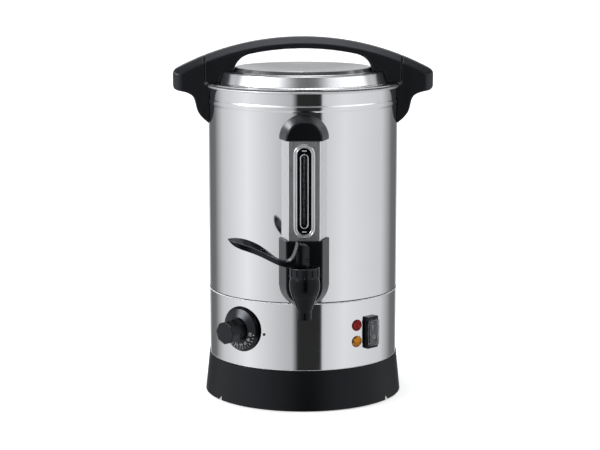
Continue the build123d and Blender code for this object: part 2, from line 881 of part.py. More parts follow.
rocker_turn = radians(rocker_travel / 2)
rocker_facing = switch_plane.z_dir * cos(rocker_turn) + Vector(0, 0, sin(rocker_turn))
rocker_plane = Plane(
    origin=switch_plane.offset(rocker_pivot).origin, x_dir=switch_plane.x_dir, z_dir=rocker_facing
)
with BuildPart() as switch_rocker:
    rocker_swing = (rocker_hub + rocker_thickness) * sin(rocker_turn)
    rocker_length = (window_length - 2 * free_play - 2 * rocker_swing) / cos(rocker_turn)
    rocker_width = window_width - 2 * free_play
    with BuildSketch(rocker_plane.offset(rocker_hub)):
        Rectangle(rocker_width, rocker_length)
    extrude(amount=rocker_thickness)
    with BuildSketch(Plane(rocker_plane.origin, rocker_plane.y_dir, rocker_plane.x_dir)):
        Circle(rocker_hub)
    extrude(amount=rocker_width / 2, both=True)
    with BuildSketch(rocker_plane):
        Rectangle(rocker_width, rocker_hub)
    extrude(amount=rocker_hub)
save(switch_rocker, "switch_rocker")

with BuildPart() as switch_splash_cover:
    splash_plane = switch_plane.offset(bezel_depth)
    splash_width = switch_width - 2 * splash_inset
    splash_length = switch_length - 2 * splash_end_inset
    with BuildSketch(splash_plane):
        RectangleRounded(splash_width, splash_length, splash_corner)
    extrude(amount=splash_depth)
    front = faces().sort_by_distance(splash_plane.offset(splash_depth).origin)[0]
    fillet(front.edges(), splash_corner - splash_wall / 2)
    with BuildSketch(splash_plane):
        RectangleRounded(
            splash_width - 2 * splash_wall, splash_length - 2 * splash_wall, splash_corner - splash_wall
        )
    extrude(amount=splash_depth - splash_wall, mode=Mode.SUBTRACT)
save(switch_splash_cover, "switch_splash_cover")

# Wires from the terminal block to the heater's pins, the thermostat and the switch
with BuildPart() as wiring:
    pin_bottom = element_height - element_leg
    thermostat_middle = thermostat_front - thermostat_depth / 2
    wire_ends = [
        Vector(*element_pins[0], pin_bottom),
        Vector(*element_pins[1], pin_bottom),
        radial_plane(dial_angle, dial_height - thermostat_height / 2, thermostat_middle).origin,
        radial_plane(
            switch_angle, switch_height - switch_body_length / 2, switch_back - switch_body_depth / 2
        ).origin,
    ]
    way_gap = block_width / block_ways
    near_row = block_reach - block_depth / 4
    far_row = block_reach + block_depth / 4
    block_places = [(way_gap, far_row), (-way_gap, far_row), (-way_gap, near_row), (0, near_row)]
    block_top = plate_top + block_height - block_screw_depth
    for order, (wire_end, block_place) in enumerate(zip(wire_ends, block_places)):
        run_height = plate_top + block_height + wire_level + order * wire_step
        with BuildLine() as wire_line:
            FilletPolyline(
                wire_end,
                (wire_end.X, wire_end.Y, run_height),
                (*block_place, run_height),
                (*block_place, block_top),
                radius=wire_bend,
            )
        with BuildSketch(wire_line.line ^ 0):
            Circle(wire_radius)
        sweep(path=wire_line.line)
save(wiring, "wiring")

# Gasket: a flat ring under the lid's flange with a skirt inside the pot's mouth
with BuildPart() as lid_gasket:
    skirt_outer = inner_radius - gasket_skirt_play
    with BuildSketch(Plane.XZ):
        with BuildLine():
            Polyline(
                (lid_radius, gasket_bottom),
                (lid_radius, gasket_top),
                (skirt_outer - gasket_skirt_wall, gasket_top),
                (skirt_outer - gasket_skirt_wall, gasket_bottom - gasket_skirt),
                (skirt_outer, gasket_bottom - gasket_skirt),
                (skirt_outer, gasket_bottom),
                close=True,
            )
        make_face()
    revolve(axis=Axis.Z)
save(lid_gasket, "lid_gasket")

# Lid: one pressed sheet with a flange, a raised shoulder, a step and a dished middle
with BuildPart() as lid:
    with BuildSketch(Plane.XZ):
        with BuildLine():
            FilletPolyline(*lid_line_points(0), radius=lid_bends)
            dish_radius = (dish_edge_radius**2 + dish_depth**2) / (2 * dish_depth)
            dish_sweep = degrees(asin(dish_edge_radius / dish_radius))
            dish_centre = (0, lip_height - dish_depth + dish_radius)
            CenterArc(dish_centre, dish_radius, dish_sweep - 90, -dish_sweep)
            offset(amount=sheet, side=Side.LEFT)
        make_face()
    revolve(axis=Axis.Z)
    with BuildSketch(Plane.XY.offset(shoulder_height + overrun)):
        for side in (-1, 1):
            with Locations((side * lid_screw_circle, 0)):
                with GridLocations(0, lid_screw_spacing, 1, 2):
                    Circle(lid_screw_radius + nest_play)
    extrude(amount=-2 * overrun, mode=Mode.SUBTRACT)
save(lid, "lid")

# Lid handle: a bevelled arch whose feet are shaped to the lid
with BuildPart() as lid_handle:
    lid_handle_end = seam_radius - seam_gap / 2
    with BuildSketch(Plane.XZ.offset(-handle_width / 2)):
        with BuildLine():
            under_radius = arch_radius - arch_thickness
            RadiusArc((0, handle_top), (seam_radius, arch_height(seam_radius, arch_radius)), arch_radius)
            Polyline(
                (seam_radius, arch_height(seam_radius, arch_radius)),
                (seam_radius, flange_top + free_play),
                (window_half, flange_top + free_play),
                (window_half, arch_height(window_half, under_radius)),
            )
            RadiusArc(
                (window_half, arch_height(window_half, under_radius)),
                (0, handle_top - arch_thickness),
                -under_radius,
            )
            Line((0, handle_top - arch_thickness), (0, handle_top))
        make_face()
        window_corner = (window_half, arch_height(window_half, under_radius))
        fillet(vertices().sort_by_distance(window_corner)[0], window_round)
        mirror(about=Plane.YZ)
    extrude(amount=handle_width)
    with BuildSketch(Plane.XY.offset(flange_top)):
        with BuildLine():
            waist = handle_waist / 2
            edge = handle_width / 2
            near = ThreePointArc((-seam_radius, -edge), (0, -waist), (seam_radius, -edge))
            far = ThreePointArc((-seam_radius, edge), (0, waist), (seam_radius, edge))
            Line(near @ 0, far @ 0)
            Line(near @ 1, far @ 1)
        make_face()
    extrude(amount=handle_top, mode=Mode.INTERSECT)
    top_face = faces().sort_by(Axis.Z)[-1]
    chamfer(top_face.edges().sort_by(SortBy.LENGTH)[-2:], handle_bevel)
    with BuildSketch(Plane.XY.offset(flange_top)):
        Circle(lid_handle_end)
    extrude(amount=handle_top, mode=Mode.INTERSECT)
    with BuildSketch(Plane.XZ):
        with BuildLine():
            envelope = FilletPolyline(*lid_line_points(nest_play), radius=lid_bends)
            Polyline(
                envelope @ 1,
                (0, lip_height + nest_play),
                (0, floor_height),
                (lid_radius, floor_height),
                envelope @ 0,
            )
        make_face()
    revolve(axis=Axis.Z, mode=Mode.SUBTRACT)
    with BuildSketch(Plane.XY.offset(shoulder_height - overrun)):
        for side in (-1, 1):
            with Locations((side * lid_screw_circle, 0)):
                with GridLocations(0, lid_screw_spacing, 1, 2):
                    Circle(lid_screw_radius + nest_play)
    extrude(amount=overrun + lid_screw_length + nest_play, mode=Mode.SUBTRACT)
save(lid_handle, "lid_handle")

with BuildPart() as lid_handle_screws:
    for side in (-1, 1):
        with Locations((side * lid_screw_circle, 0, shoulder_height - sheet)):
            with GridLocations(0, lid_screw_spacing, 1, 2):
                Cylinder(
                    lid_screw_head_radius,
                    lid_screw_head,
                    align=(Align.CENTER, Align.CENTER, Align.MAX),
                )
                Cylinder(
                    lid_screw_radius,
                    sheet + lid_screw_length,
                    align=(Align.CENTER, Align.CENTER, Align.MIN),
                )
save(lid_handle_screws, "lid_handle_screws")

# Side handles: grips that carry on the arch's line, on brackets shaped to the pot's wall
for handle_name, side in (("left_side_handle", -1), ("right_side_handle", 1)):
    with BuildPart() as side_handle:
        with BuildSketch(Plane.XZ.offset(-handle_width / 2)):
            with BuildLine():
                end_height = arch_height(handle_reach, arch_radius)
                RadiusArc(
                    (side * handle_root, arch_height(handle_root, arch_radius)),
                    (side * handle_reach, end_height),
                    side * arch_radius,
                )
                Polyline(
                    (side * handle_reach, end_height),
                    (side * handle_reach, bracket_foot),
                    (side * handle_root, bracket_foot),
                    (side * handle_root, arch_height(handle_root, arch_radius)),
                )
            make_face()
        extrude(amount=handle_width)
        arch_face = faces().sort_by(Axis.Z)[-1]
        chamfer(arch_face.edges().sort_by(SortBy.LENGTH)[-2:], handle_bevel)
        with BuildSketch(Plane.XZ.offset(-handle_width)):
            with BuildLine():
                round_reach = handle_reach - handle_end_round
                handle_end_top = rim_height + handle_end_rise
                above = handle_top + overrun
                Polyline(
                    (side * handle_root, bracket_foot),
                    (side * handle_root, above),
                    (side * round_reach, above),
                    (side * round_reach, arch_height(round_reach, arch_radius)),
                )
                Spline(
                    (side * round_reach, arch_height(round_reach, arch_radius)),
                    (side * handle_reach, handle_end_top),
                    tangents=((side * arch_radius, -round_reach), (0, -1)),
                )
                Line((side * handle_reach, handle_end_top), (side * handle_reach, rim_height))
                Spline(
                    (side * handle_reach, rim_height),
                    (side * (body_radius + grip_corner_overhang), rim_height - grip_corner_drop),
                    (side * (body_radius + bracket_overhang), rim_height - bracket_drop),
                    (side * (body_radius + heel_overhang), rim_height - heel_drop),
                    (side * inner_radius, bracket_foot),
                    tangents=((0, -1), (-side, -1)),
                )
                Line((side * inner_radius, bracket_foot), (side * handle_root, bracket_foot))
            make_face()
        extrude(amount=2 * handle_width, mode=Mode.INTERSECT)
        with BuildSketch(Plane.XY):
            with Locations((side * (handle_reach - handle_width), 0)):
                RectangleRounded(2 * handle_width, handle_width, plan_round)
        extrude(amount=handle_top + overrun, mode=Mode.INTERSECT)
        with BuildSketch(Plane.XZ):
            with BuildLine():
                wall_reach = body_radius + nest_play
                bead_reach = wall_reach + bead_depth
                bead_half = bead_span / 2 + nest_play
                rim_low = rim_height - 2 * rim_roll_radius - nest_play
                rim_reach = rim_radius + nest_play
                shelf_reach = seam_radius + seam_gap / 2
                Polyline(
                    (0, floor_height),
                    (wall_reach, floor_height),
                    (wall_reach, bead_height - bead_half),
                    (bead_reach, bead_height - bead_half),
                    (bead_reach, bead_height + bead_half),
                    (wall_reach, bead_height + bead_half),
                    (wall_reach, rim_low),
                    (rim_reach, rim_low),
                    (rim_reach, rim_height),
                    (shelf_reach, rim_height),
                    (shelf_reach, handle_top + overrun),
                    (0, handle_top + overrun),
                    close=True,
                )
            make_face()
        revolve(axis=Axis.Z, mode=Mode.SUBTRACT)
        with BuildSketch(Plane.YZ.offset(side * inner_radius)):
            for screw_height in handle_screw_heights:
                with Locations((0, screw_height)):
                    Circle(handle_screw_radius + nest_play)
        extrude(amount=side * (sheet + handle_screw_length + nest_play), mode=Mode.SUBTRACT)
    save(side_handle, handle_name)

# Screws that hold the side handles from inside the pot
with BuildPart() as side_handle_screws:
    head_face = flat_inside(handle_screw_head_radius)
    for side in (-1, 1):
        with BuildSketch(Plane.YZ.offset(side * head_face)):
            for screw_height in handle_screw_heights:
                with Locations((0, screw_height)):
                    Circle(handle_screw_head_radius)
        extrude(amount=-side * handle_screw_head)
        with BuildSketch(Plane.YZ.offset(side * head_face)):
            for screw_height in handle_screw_heights:
                with Locations((0, screw_height)):
                    Circle(handle_screw_radius)
        extrude(amount=side * (body_radius - head_face + handle_screw_length))
save(side_handle_screws, "side_handle_screws")

# Gauge cover: folded sheet with a window, its edges shaped to the pot's wall
with BuildPart() as gauge_cover:
    with BuildSketch(Plane.XY.offset(cover_bottom)):
        with BuildLine():
            root_half = gauge_half_width + (gauge_front - gauge_root) * gauge_slope
            Polyline(
                (-root_half, -gauge_root),
                (-gauge_half_width, -gauge_front),
                (gauge_half_width, -gauge_front),
                (root_half, -gauge_root),
                close=True,
            )
        make_face()
        fillet(vertices().group_by(Axis.Y)[0], gauge_bend)
        offset(amount=-sheet, mode=Mode.SUBTRACT)
    extrude(amount=cover_top - cover_bottom)
    with BuildSketch(Plane.XY.offset(cover_bottom)):
        Circle(body_radius + nest_play)
    extrude(amount=cover_top - cover_bottom, mode=Mode.SUBTRACT)
    with BuildSketch(Plane.XZ.offset(gauge_front - overrun)):
        with Locations((0, gauge_height)):
            SlotOverall(neck_length + 2 * nest_play, neck_width + 2 * nest_play, rotation=90)
    extrude(amount=2 * overrun, mode=Mode.SUBTRACT)
save(gauge_cover, "gauge_cover")

# Gauge cap: half of a hollow tapered boss that closes the top of the column
with BuildPart() as gauge_cap:
    cap_root_radius = cap_radius + (cap_front - gauge_root) * gauge_slope
    cap_centre = cover_top + cap_rise
    with BuildSketch(Plane.XZ.offset(gauge_root)):
        with Locations((0, cap_centre)):
            Circle(cap_root_radius)
    extrude(amount=cap_front - gauge_root, taper=gauge_taper)
    fillet(faces().sort_by(Axis.Y)[0].edges(), cap_round)
    with BuildSketch(Plane.XZ.offset(gauge_root)):
        with Locations((0, cap_centre)):
            Circle(cap_root_radius - cap_wall)
    extrude(amount=cap_front - gauge_root - cap_wall, taper=gauge_taper, mode=Mode.SUBTRACT)
    split(bisect_by=Plane.XY.offset(cover_top), keep=Keep.TOP)
    with BuildSketch(Plane.XY.offset(cover_top)):
        Circle(body_radius + nest_play)
    extrude(amount=2 * cap_root_radius, mode=Mode.SUBTRACT)
save(gauge_cap, "gauge_cap")

# Gauge window: bezel, black panel and the bright trim round the slot
with BuildPart() as gauge_bezel:
    with BuildSketch(Plane.XZ.offset(gauge_front)):
        with Locations((0, gauge_height)):
            SlotOverall(bezel_length, bezel_width, rotation=90)
    extrude(amount=bezel_proud)
    fillet(faces().sort_by(Axis.Y)[0].edges(), bezel_proud / 2)
    with BuildSketch(Plane.XZ.offset(gauge_front)):
        with Locations((0, gauge_height)):
            SlotOverall(neck_length, neck_width, rotation=90)
    extrude(amount=-bezel_neck)
    with BuildSketch(Plane.XZ.offset(gauge_front + bezel_proud)):
        with Locations((0, gauge_height)):
            SlotOverall(panel_length + 2 * nest_play, panel_width + 2 * nest_play, rotation=90)
    extrude(amount=-(bezel_proud + bezel_neck), mode=Mode.SUBTRACT)
save(gauge_bezel, "gauge_bezel")

with BuildPart() as gauge_panel:
    with BuildSketch(Plane.XZ.offset(panel_face)):
        with Locations((0, gauge_height)):
            SlotOverall(panel_length, panel_width, rotation=90)
            SlotOverall(
                trim_length + 2 * nest_play,
                trim_width + 2 * nest_play,
                rotation=90,
                mode=Mode.SUBTRACT,
            )
    extrude(amount=-panel_thickness)
save(gauge_panel, "gauge_panel")

with BuildPart() as gauge_slot_trim:
    with BuildSketch(Plane.XZ.offset(panel_face + trim_proud)):
        with Locations((0, gauge_height)):
            SlotOverall(trim_length, trim_width, rotation=90)
            SlotOverall(slot_length, slot_width, rotation=90, mode=Mode.SUBTRACT)
    extrude(amount=-(panel_thickness + trim_proud))
save(gauge_slot_trim, "gauge_slot_trim")

# Sight tube between the outlet's port and the cap, with a seal at each end
with BuildPart() as sight_tube:
    with BuildSketch(Plane.XY.offset(tube_bottom)):
        with Locations((0, -tube_reach)):
            Circle(tube_radius)
            Circle(tube_radius - tube_wall, mode=Mode.SUBTRACT)
    extrude(amount=tube_top - tube_bottom)
save(sight_tube, "sight_tube")

seal_seats = {"tube_bottom_seal": port_height, "tube_top_seal": tube_top - seal_height}
for seal_name, seal_seat in seal_seats.items():
    with BuildPart() as tube_seal:
        with BuildSketch(Plane.XY.offset(seal_seat)):
            with Locations((0, -tube_reach)):
                Circle(seal_radius)
                Circle(tube_radius + pin_play, mode=Mode.SUBTRACT)
        extrude(amount=seal_height)
    save(tube_seal, seal_name)

# Outlet: a block with a nipple through the pot's wall and a port for the sight tube
with BuildPart() as outlet_block:
    with BuildSketch(Plane.XZ.offset(block_back)):
        with Locations((0, outlet_height)):
            Circle(outlet_block_radius)
    extrude(amount=block_front - block_back)
    with BuildSketch(Plane.XZ.offset(inner_radius - nipple_inside)):
        with Locations((0, outlet_height)):
            Circle(nipple_radius)
    extrude(amount=block_back - inner_radius + nipple_inside)
    with BuildSketch(Plane.XY.offset(outlet_height)):
        with Locations((0, -tube_reach)):
            Circle(port_radius)
    extrude(amount=port_height - outlet_height)
    with BuildSketch(Plane.XZ.offset(inner_radius - nipple_inside)):
        with Locations((0, outlet_height)):
            Circle(outlet_bore)
    extrude(amount=block_front - inner_radius + nipple_inside, mode=Mode.SUBTRACT)
    with BuildSketch(Plane.XY.offset(outlet_height)):
        with Locations((0, -tube_reach)):
            Circle(tube_radius - tube_wall)
    extrude(amount=port_height - outlet_height, mode=Mode.SUBTRACT)
    with BuildSketch(Plane.XY.offset(tube_bottom)):
        with Locations((0, -tube_reach)):
            Circle(tube_radius + nest_play)
    extrude(amount=port_depth, mode=Mode.SUBTRACT)
save(outlet_block, "outlet_block")

washer_inside = flat_inside(washer_radius)
with BuildPart() as outlet_washers:
    for washer_face in (body_radius + nest_play, washer_inside - washer_thickness):
        with BuildSketch(Plane.XZ.offset(washer_face)):
            with Locations((0, outlet_height)):
                Circle(washer_radius)
                Circle(nipple_radius + nest_play, mode=Mode.SUBTRACT)
        extrude(amount=washer_thickness)
save(outlet_washers, "outlet_washers")

with BuildPart() as outlet_nut:
    with BuildSketch(Plane.XZ.offset(washer_inside - washer_thickness)):
        with Locations((0, outlet_height)):
            RegularPolygon(outlet_nut_radius, 6)
            Circle(nipple_radius + nest_play, mode=Mode.SUBTRACT)
    extrude(amount=-outlet_nut_thickness)
save(outlet_nut, "outlet_nut")

# Tap housing: a hollow tapered shell with a round bottom, below the gauge cover
with BuildPart() as tap_housing:
    housing_root = housing_radius + (housing_front - gauge_root) * gauge_slope
    for inset, mode in ((0, Mode.ADD), (housing_wall, Mode.SUBTRACT)):
        with BuildSketch(Plane.XZ.offset(gauge_root)):
            with Locations((0, housing_centre)):
                Circle(housing_root - inset)
                Rectangle(
                    2 * (housing_root - inset),
                    cover_bottom - housing_centre + housing_root,
                    align=(Align.CENTER, Align.MIN),
                )
        extrude(amount=housing_front - inset - gauge_root, taper=gauge_taper, mode=mode)
    split(bisect_by=Plane.XY.offset(cover_bottom), keep=Keep.BOTTOM)
    with BuildSketch(Plane.XY.offset(housing_centre - housing_root)):
        Circle(body_radius + nest_play)
    extrude(amount=cover_bottom, mode=Mode.SUBTRACT)
    with BuildSketch(Plane.XZ.offset(housing_front - overrun)):
        with Locations((0, outlet_height)):
            Circle(inlet_radius + nest_play)
    extrude(amount=2 * overrun, mode=Mode.SUBTRACT)
save(tap_housing, "tap_housing")

with BuildPart() as tap_locknut:
    with BuildSketch(Plane.XZ.offset(housing_front)):
        with Locations((0, outlet_height)):
            RegularPolygon(locknut_radius, 6)
            Circle(inlet_radius + nest_play, mode=Mode.SUBTRACT)
    extrude(amount=locknut_thickness)
save(tap_locknut, "tap_locknut")

# Tap body: spout, belly and valve chamber, with its inlet pipe to the outlet block
with BuildPart() as tap_body:
    with BuildSketch(Plane.XZ.offset(tap_reach)):
        with BuildLine():
            waist = (tap_waist_radius, outlet_height - tap_waist_drop)
            shoulder = (tap_shoulder_radius, tap_top)
            Polyline(
                (0, tap_top),
                (0, spout_height),
                (spout_radius, spout_height),
                (spout_radius, spout_height + spout_straight),
                waist,
            )
            ThreePointArc(waist, (tap_belly_radius, outlet_height + tap_belly_rise), shoulder)
            Line(shoulder, (0, tap_top))
        make_face()
    revolve(axis=axis_of_tap)
    with BuildSketch(Plane.XZ.offset(block_front)):
        with Locations((0, outlet_height)):
            Circle(inlet_radius)
    extrude(amount=tap_reach - block_front)
    with BuildSketch(Plane.XY.offset(chamber_floor)):
        with Locations((0, -tap_reach)):
            Circle(chamber_radius)
    extrude(amount=tap_top - chamber_floor, mode=Mode.SUBTRACT)
    with BuildSketch(Plane.XY.offset(spout_height)):
        with Locations((0, -tap_reach)):
            Circle(spout_bore)
    extrude(amount=chamber_floor - spout_height, mode=Mode.SUBTRACT)
    with BuildSketch(Plane.XZ.offset(block_front)):
        with Locations((0, outlet_height)):
            Circle(outlet_bore)
    extrude(amount=tap_reach - block_front, mode=Mode.SUBTRACT)
save(tap_body, "tap_body")

# Bonnet: the fluted cap over the valve chamber
with BuildPart() as tap_bonnet:
    with BuildSketch(Plane.XY.offset(tap_top)):
        with Locations((0, -tap_reach)):
            Circle(bonnet_radius)
    extrude(amount=bonnet_height)
    fillet(edges().group_by(Axis.Z)[-1], bonnet_round)
    bonnet_bores = (
        (tap_top, chamber_radius, bonnet_ledge_height),
        (tap_top, bonnet_ledge, bonnet_height),
        (ledge_top, bonnet_bore, bonnet_top - ledge_top),
    )
    for bore_bottom, bore_radius, bore_length in bonnet_bores:
        with BuildSketch(Plane.XY.offset(bore_bottom)):
            with Locations((0, -tap_reach)):
                Circle(bore_radius)
        extrude(amount=bore_length, mode=Mode.SUBTRACT)
    with BuildSketch(Plane.XY.offset(bonnet_top - flute_length)):
        with Locations((0, -tap_reach)):
            with PolarLocations(bonnet_radius, flute_count):
                Circle(flute_radius)
    extrude(amount=flute_length + overrun, mode=Mode.SUBTRACT)
save(tap_bonnet, "tap_bonnet")

# Swivel ring that turns in the bonnet and guides the stem
with BuildPart() as tap_swivel_ring:
    with BuildSketch(Plane.XY.offset(ledge_top + pin_play)):
        with Locations((0, -tap_reach)):
            Circle(bonnet_bore - pin_play)
            Circle(stem_radius + pin_play, mode=Mode.SUBTRACT)
    extrude(amount=bonnet_top - ledge_top - pin_play)
save(tap_swivel_ring, "tap_swivel_ring")

# The lever's upright plane: local x runs out along the lever, local y is up
turn = radians(lever_turn)
lever_plane = Plane(
    origin=(0, -tap_reach, 0), x_dir=(-cos(turn), -sin(turn), 0), z_dir=(-sin(turn), cos(turn), 0)
)

# Stem with its spring seat and the eye for the lever's pin
with BuildPart() as tap_stem:
    stem_bottom = cup_top - cup_socket
    with BuildSketch(Plane.XY.offset(stem_bottom)):
        with Locations((0, -tap_reach)):
            Circle(stem_radius)
    extrude(amount=pin_height - stem_bottom)
    with BuildSketch(Plane.XY.offset(cup_top)):
        with Locations((0, -tap_reach)):
            Circle(spring_seat_radius)
    extrude(amount=spring_seat)
    with BuildSketch(lever_plane):
        with Locations((0, pin_height)):
            Circle(eye_radius)
    extrude(amount=eye_thickness / 2, both=True)
    with BuildSketch(lever_plane):
        with Locations((0, pin_height)):
            Circle(pin_radius + nest_play)
    extrude(amount=eye_thickness, both=True, mode=Mode.SUBTRACT)
    for cheek in (-1, 1):
        with BuildSketch(lever_plane.offset(cheek * eye_thickness / 2)):
            with Locations((0, bonnet_top - cheek_drop)):
                Rectangle(
                    2 * eye_radius, pin_rise + cheek_drop + eye_radius, align=(Align.CENTER, Align.MIN)
                )
        extrude(amount=cheek * stem_radius, mode=Mode.SUBTRACT)
save(tap_stem, "tap_stem")

with BuildPart() as tap_seat_cup:
    with BuildSketch(Plane.XY.offset(chamber_floor)):
        with Locations((0, -tap_reach)):
            Circle(cup_radius)
    extrude(amount=cup_height)
    with BuildSketch(Plane.XY.offset(cup_top)):
        with Locations((0, -tap_reach)):
            Circle(stem_radius + nest_play)
    extrude(amount=-cup_socket, mode=Mode.SUBTRACT)
save(tap_seat_cup, "tap_seat_cup")

# Return spring between the stem's seat and the bonnet
with BuildPart() as tap_spring:
    spring_bottom = cup_top + spring_seat + spring_wire + pin_play
    spring_top = tap_top + bonnet_ledge_height - spring_wire - pin_play
    with BuildLine() as spring_line:
        Helix(
            (spring_top - spring_bottom) / spring_turns,
            spring_top - spring_bottom,
            spring_radius,
            center=(0, -tap_reach, spring_bottom),
        )
    with BuildSketch(spring_line.line ^ 0):
        Circle(spring_wire)
    sweep(path=spring_line.line, is_frenet=True)
save(tap_spring, "tap_spring")

with BuildPart() as lever_pin:
    with BuildSketch(lever_plane):
        with Locations((0, pin_height)):
            Circle(pin_radius)
    extrude(amount=lever_head_width / 2 - nest_play, both=True)
save(lever_pin, "lever_pin")

# Lever: a head with a horn, and an arm that dips and then rises to a paddle
with BuildPart() as tap_lever:
    head_low = bonnet_top + free_play
    with BuildSketch(lever_plane):
        with BuildLine():
            horn = (lever_horn_reach, bonnet_top + lever_horn_rise)
            neck = (lever_neck_reach, bonnet_top + lever_neck_rise)
            middle = (lever_middle_reach, bonnet_top + lever_middle_rise)
            paddle = (lever_paddle_reach, bonnet_top + lever_paddle_rise)
            tip = (lever_tip_reach, bonnet_top + lever_tip_rise)
            tip_low = (tip[0] - lever_tip_setback, tip[1] - lever_tip_thickness)
            paddle_low = (paddle[0], paddle[1] - lever_paddle_thickness)
            middle_low = (middle[0], middle[1] - lever_middle_thickness)
            neck_low = (neck[0], neck[1] - lever_neck_thickness)
            toe = (bonnet_radius - bonnet_round, head_low)
            Spline(horn, neck, middle, paddle, tip)
            Spline(tip, tip_low, paddle_low, middle_low, neck_low, toe)
            nape = (-lever_back, bonnet_top + lever_head_rise)
            crown = (lever_crown_reach, bonnet_top + lever_crown_rise)
            Polyline(toe, (-lever_back, head_low), nape)
            Spline(nape, crown, horn, tangents=((0, 1), (lever_back, lever_head_rise)))
        make_face()
    extrude(amount=lever_paddle_width / 2, both=True)
    plan_plane = Plane(origin=(0, -tap_reach, head_low), x_dir=lever_plane.x_dir, z_dir=(0, 0, 1))
    with BuildSketch(plan_plane):
        with BuildLine():
            head_half = lever_head_width / 2
            near_edge = Spline(
                (-lever_back - overrun, head_half),
                (lever_horn_reach, head_half),
                (lever_waist_reach, lever_waist_width / 2),
                (lever_paddle_reach, lever_paddle_width / 2),
                (lever_tip_reach + overrun, 0),
            )
            mirror(near_edge, about=Plane.XZ)
            Line((-lever_back - overrun, head_half), (-lever_back - overrun, -head_half))
        make_face()
    extrude(amount=lever_tip_reach, mode=Mode.INTERSECT)
    with BuildSketch(lever_plane):
        with Locations((0, head_low)):
            Rectangle(
                2 * lever_slot_half, lever_slot_rise - free_play, align=(Align.CENTER, Align.MIN)
            )
    extrude(amount=eye_thickness / 2 + free_play, both=True, mode=Mode.SUBTRACT)
    with BuildSketch(lever_plane):
        with Locations((0, pin_height)):
            Circle(pin_radius + pin_play)
    extrude(amount=lever_paddle_width, both=True, mode=Mode.SUBTRACT)
save(tap_lever, "tap_lever")
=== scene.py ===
"""Mulled wine boiler, dressed over its CAD frame: polished steel, black mouldings, gauge, tap and controls.

Lengths are in metres in the CAD frame: the pot's axis is Z, the tap faces -Y and +X is to its right.
Angles round the pot are in degrees from the front towards +X.
"""
import json
from math import atan, cos, pi, radians, sin

import bmesh
import bpy
from mathutils import Matrix, Vector


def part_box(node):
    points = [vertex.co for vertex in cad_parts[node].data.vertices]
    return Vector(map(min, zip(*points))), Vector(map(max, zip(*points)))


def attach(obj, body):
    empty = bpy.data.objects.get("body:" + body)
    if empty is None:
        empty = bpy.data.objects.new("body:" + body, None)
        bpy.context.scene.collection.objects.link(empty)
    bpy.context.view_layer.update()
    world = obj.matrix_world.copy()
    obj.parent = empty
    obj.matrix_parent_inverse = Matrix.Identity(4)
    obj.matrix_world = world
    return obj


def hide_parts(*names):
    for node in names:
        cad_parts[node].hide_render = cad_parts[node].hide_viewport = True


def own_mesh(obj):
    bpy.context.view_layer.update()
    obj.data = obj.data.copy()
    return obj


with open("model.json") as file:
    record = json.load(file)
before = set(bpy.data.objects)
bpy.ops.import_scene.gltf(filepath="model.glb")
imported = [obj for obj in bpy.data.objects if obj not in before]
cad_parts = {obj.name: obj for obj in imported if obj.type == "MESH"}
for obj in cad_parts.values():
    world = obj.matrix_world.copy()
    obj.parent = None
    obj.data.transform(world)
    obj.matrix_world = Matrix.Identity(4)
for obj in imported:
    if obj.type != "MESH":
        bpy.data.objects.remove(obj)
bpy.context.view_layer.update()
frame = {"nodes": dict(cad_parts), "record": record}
nodes = frame["nodes"]
body_of_node = {
    node: body for body, members in frame["record"]["behaviour"]["bodies"].items() for node in members
}
slot_of_node = {row["node"]: row["material_slot"] for row in frame["record"]["subparts"]}

mm = 0.001

# Camera, from the photograph: its place, how far it looks down and to the right, and its lens
camera_place = (-23 * mm, -2001 * mm, 532 * mm)
camera_down = 9.56
camera_right = 0.56
camera_lens = 103.7
camera_sensor = 36.0

# Studio: how bright the room is by angle from the front, in rings from the floor to the ceiling.
# Each ring has the two heights in degrees between which it takes over from the ring below it.
floor_ring = ((-180, 0.85), (180, 0.85))
wall_ring = (
    (-180, 0.58),
    (-164, 0.58),
    (-156, 0.16),
    (-136, 0.20),
    (-115, 0.75),
    (-72, 1.10),
    (-26, 0.69),
    (-14, 0.60),
    (-7, 0.03),
    (21, 0.03),
    (23, 0.80),
    (50, 1.00),
    (110, 0.80),
    (136, 0.20),
    (156, 0.16),
    (164, 0.58),
    (180, 0.58),
)
brow_ring = (
    (-180, 0.50),
    (-140, 0.30),
    (-106, 0.08),
    (-96, 1.80),
    (-88, 1.80),
    (-85, 14.0),
    (-68, 14.0),
    (-50, 2.50),
    (-28, 1.25),
    (-8, 0.36),
    (6, 0.27),
    (20, 0.36),
    (40, 1.25),
    (72, 1.80),
    (96, 1.80),
    (106, 0.08),
    (140, 0.30),
    (180, 0.50),
)
upper_ring = (
    (-180, 0.90),
    (-138, 0.90),
    (-126, 0.07),
    (126, 0.07),
    (138, 0.90),
    (180, 0.90),
)
crown_ring = (
    (-180, 0.95),
    (-150, 0.55),
    (-128, 1.10),
    (-100, 1.10),
    (-95, 0.11),
    (95, 0.11),
    (100, 1.10),
    (128, 1.10),
    (150, 0.55),
    (180, 0.95),
)
ceiling_ring = ((-180, 2.40), (180, 2.40))
room_rings = (
    (-40, -28, wall_ring),
    (14, 22, brow_ring),
    (29, 35, upper_ring),
    (47, 52, crown_ring),
    (64, 74, ceiling_ring),
)
room_tint = (0.975, 0.985, 1.0)
floor_reach = 16.0
floor_tone = 0.8
floor_roughness = 0.9
floor_lift = 0.5
lamp_place = (-0.4, -0.5, 2.2)
lamp_lean = (-12, -10)
lamp_side = 2.4
lamp_watts = 14.0

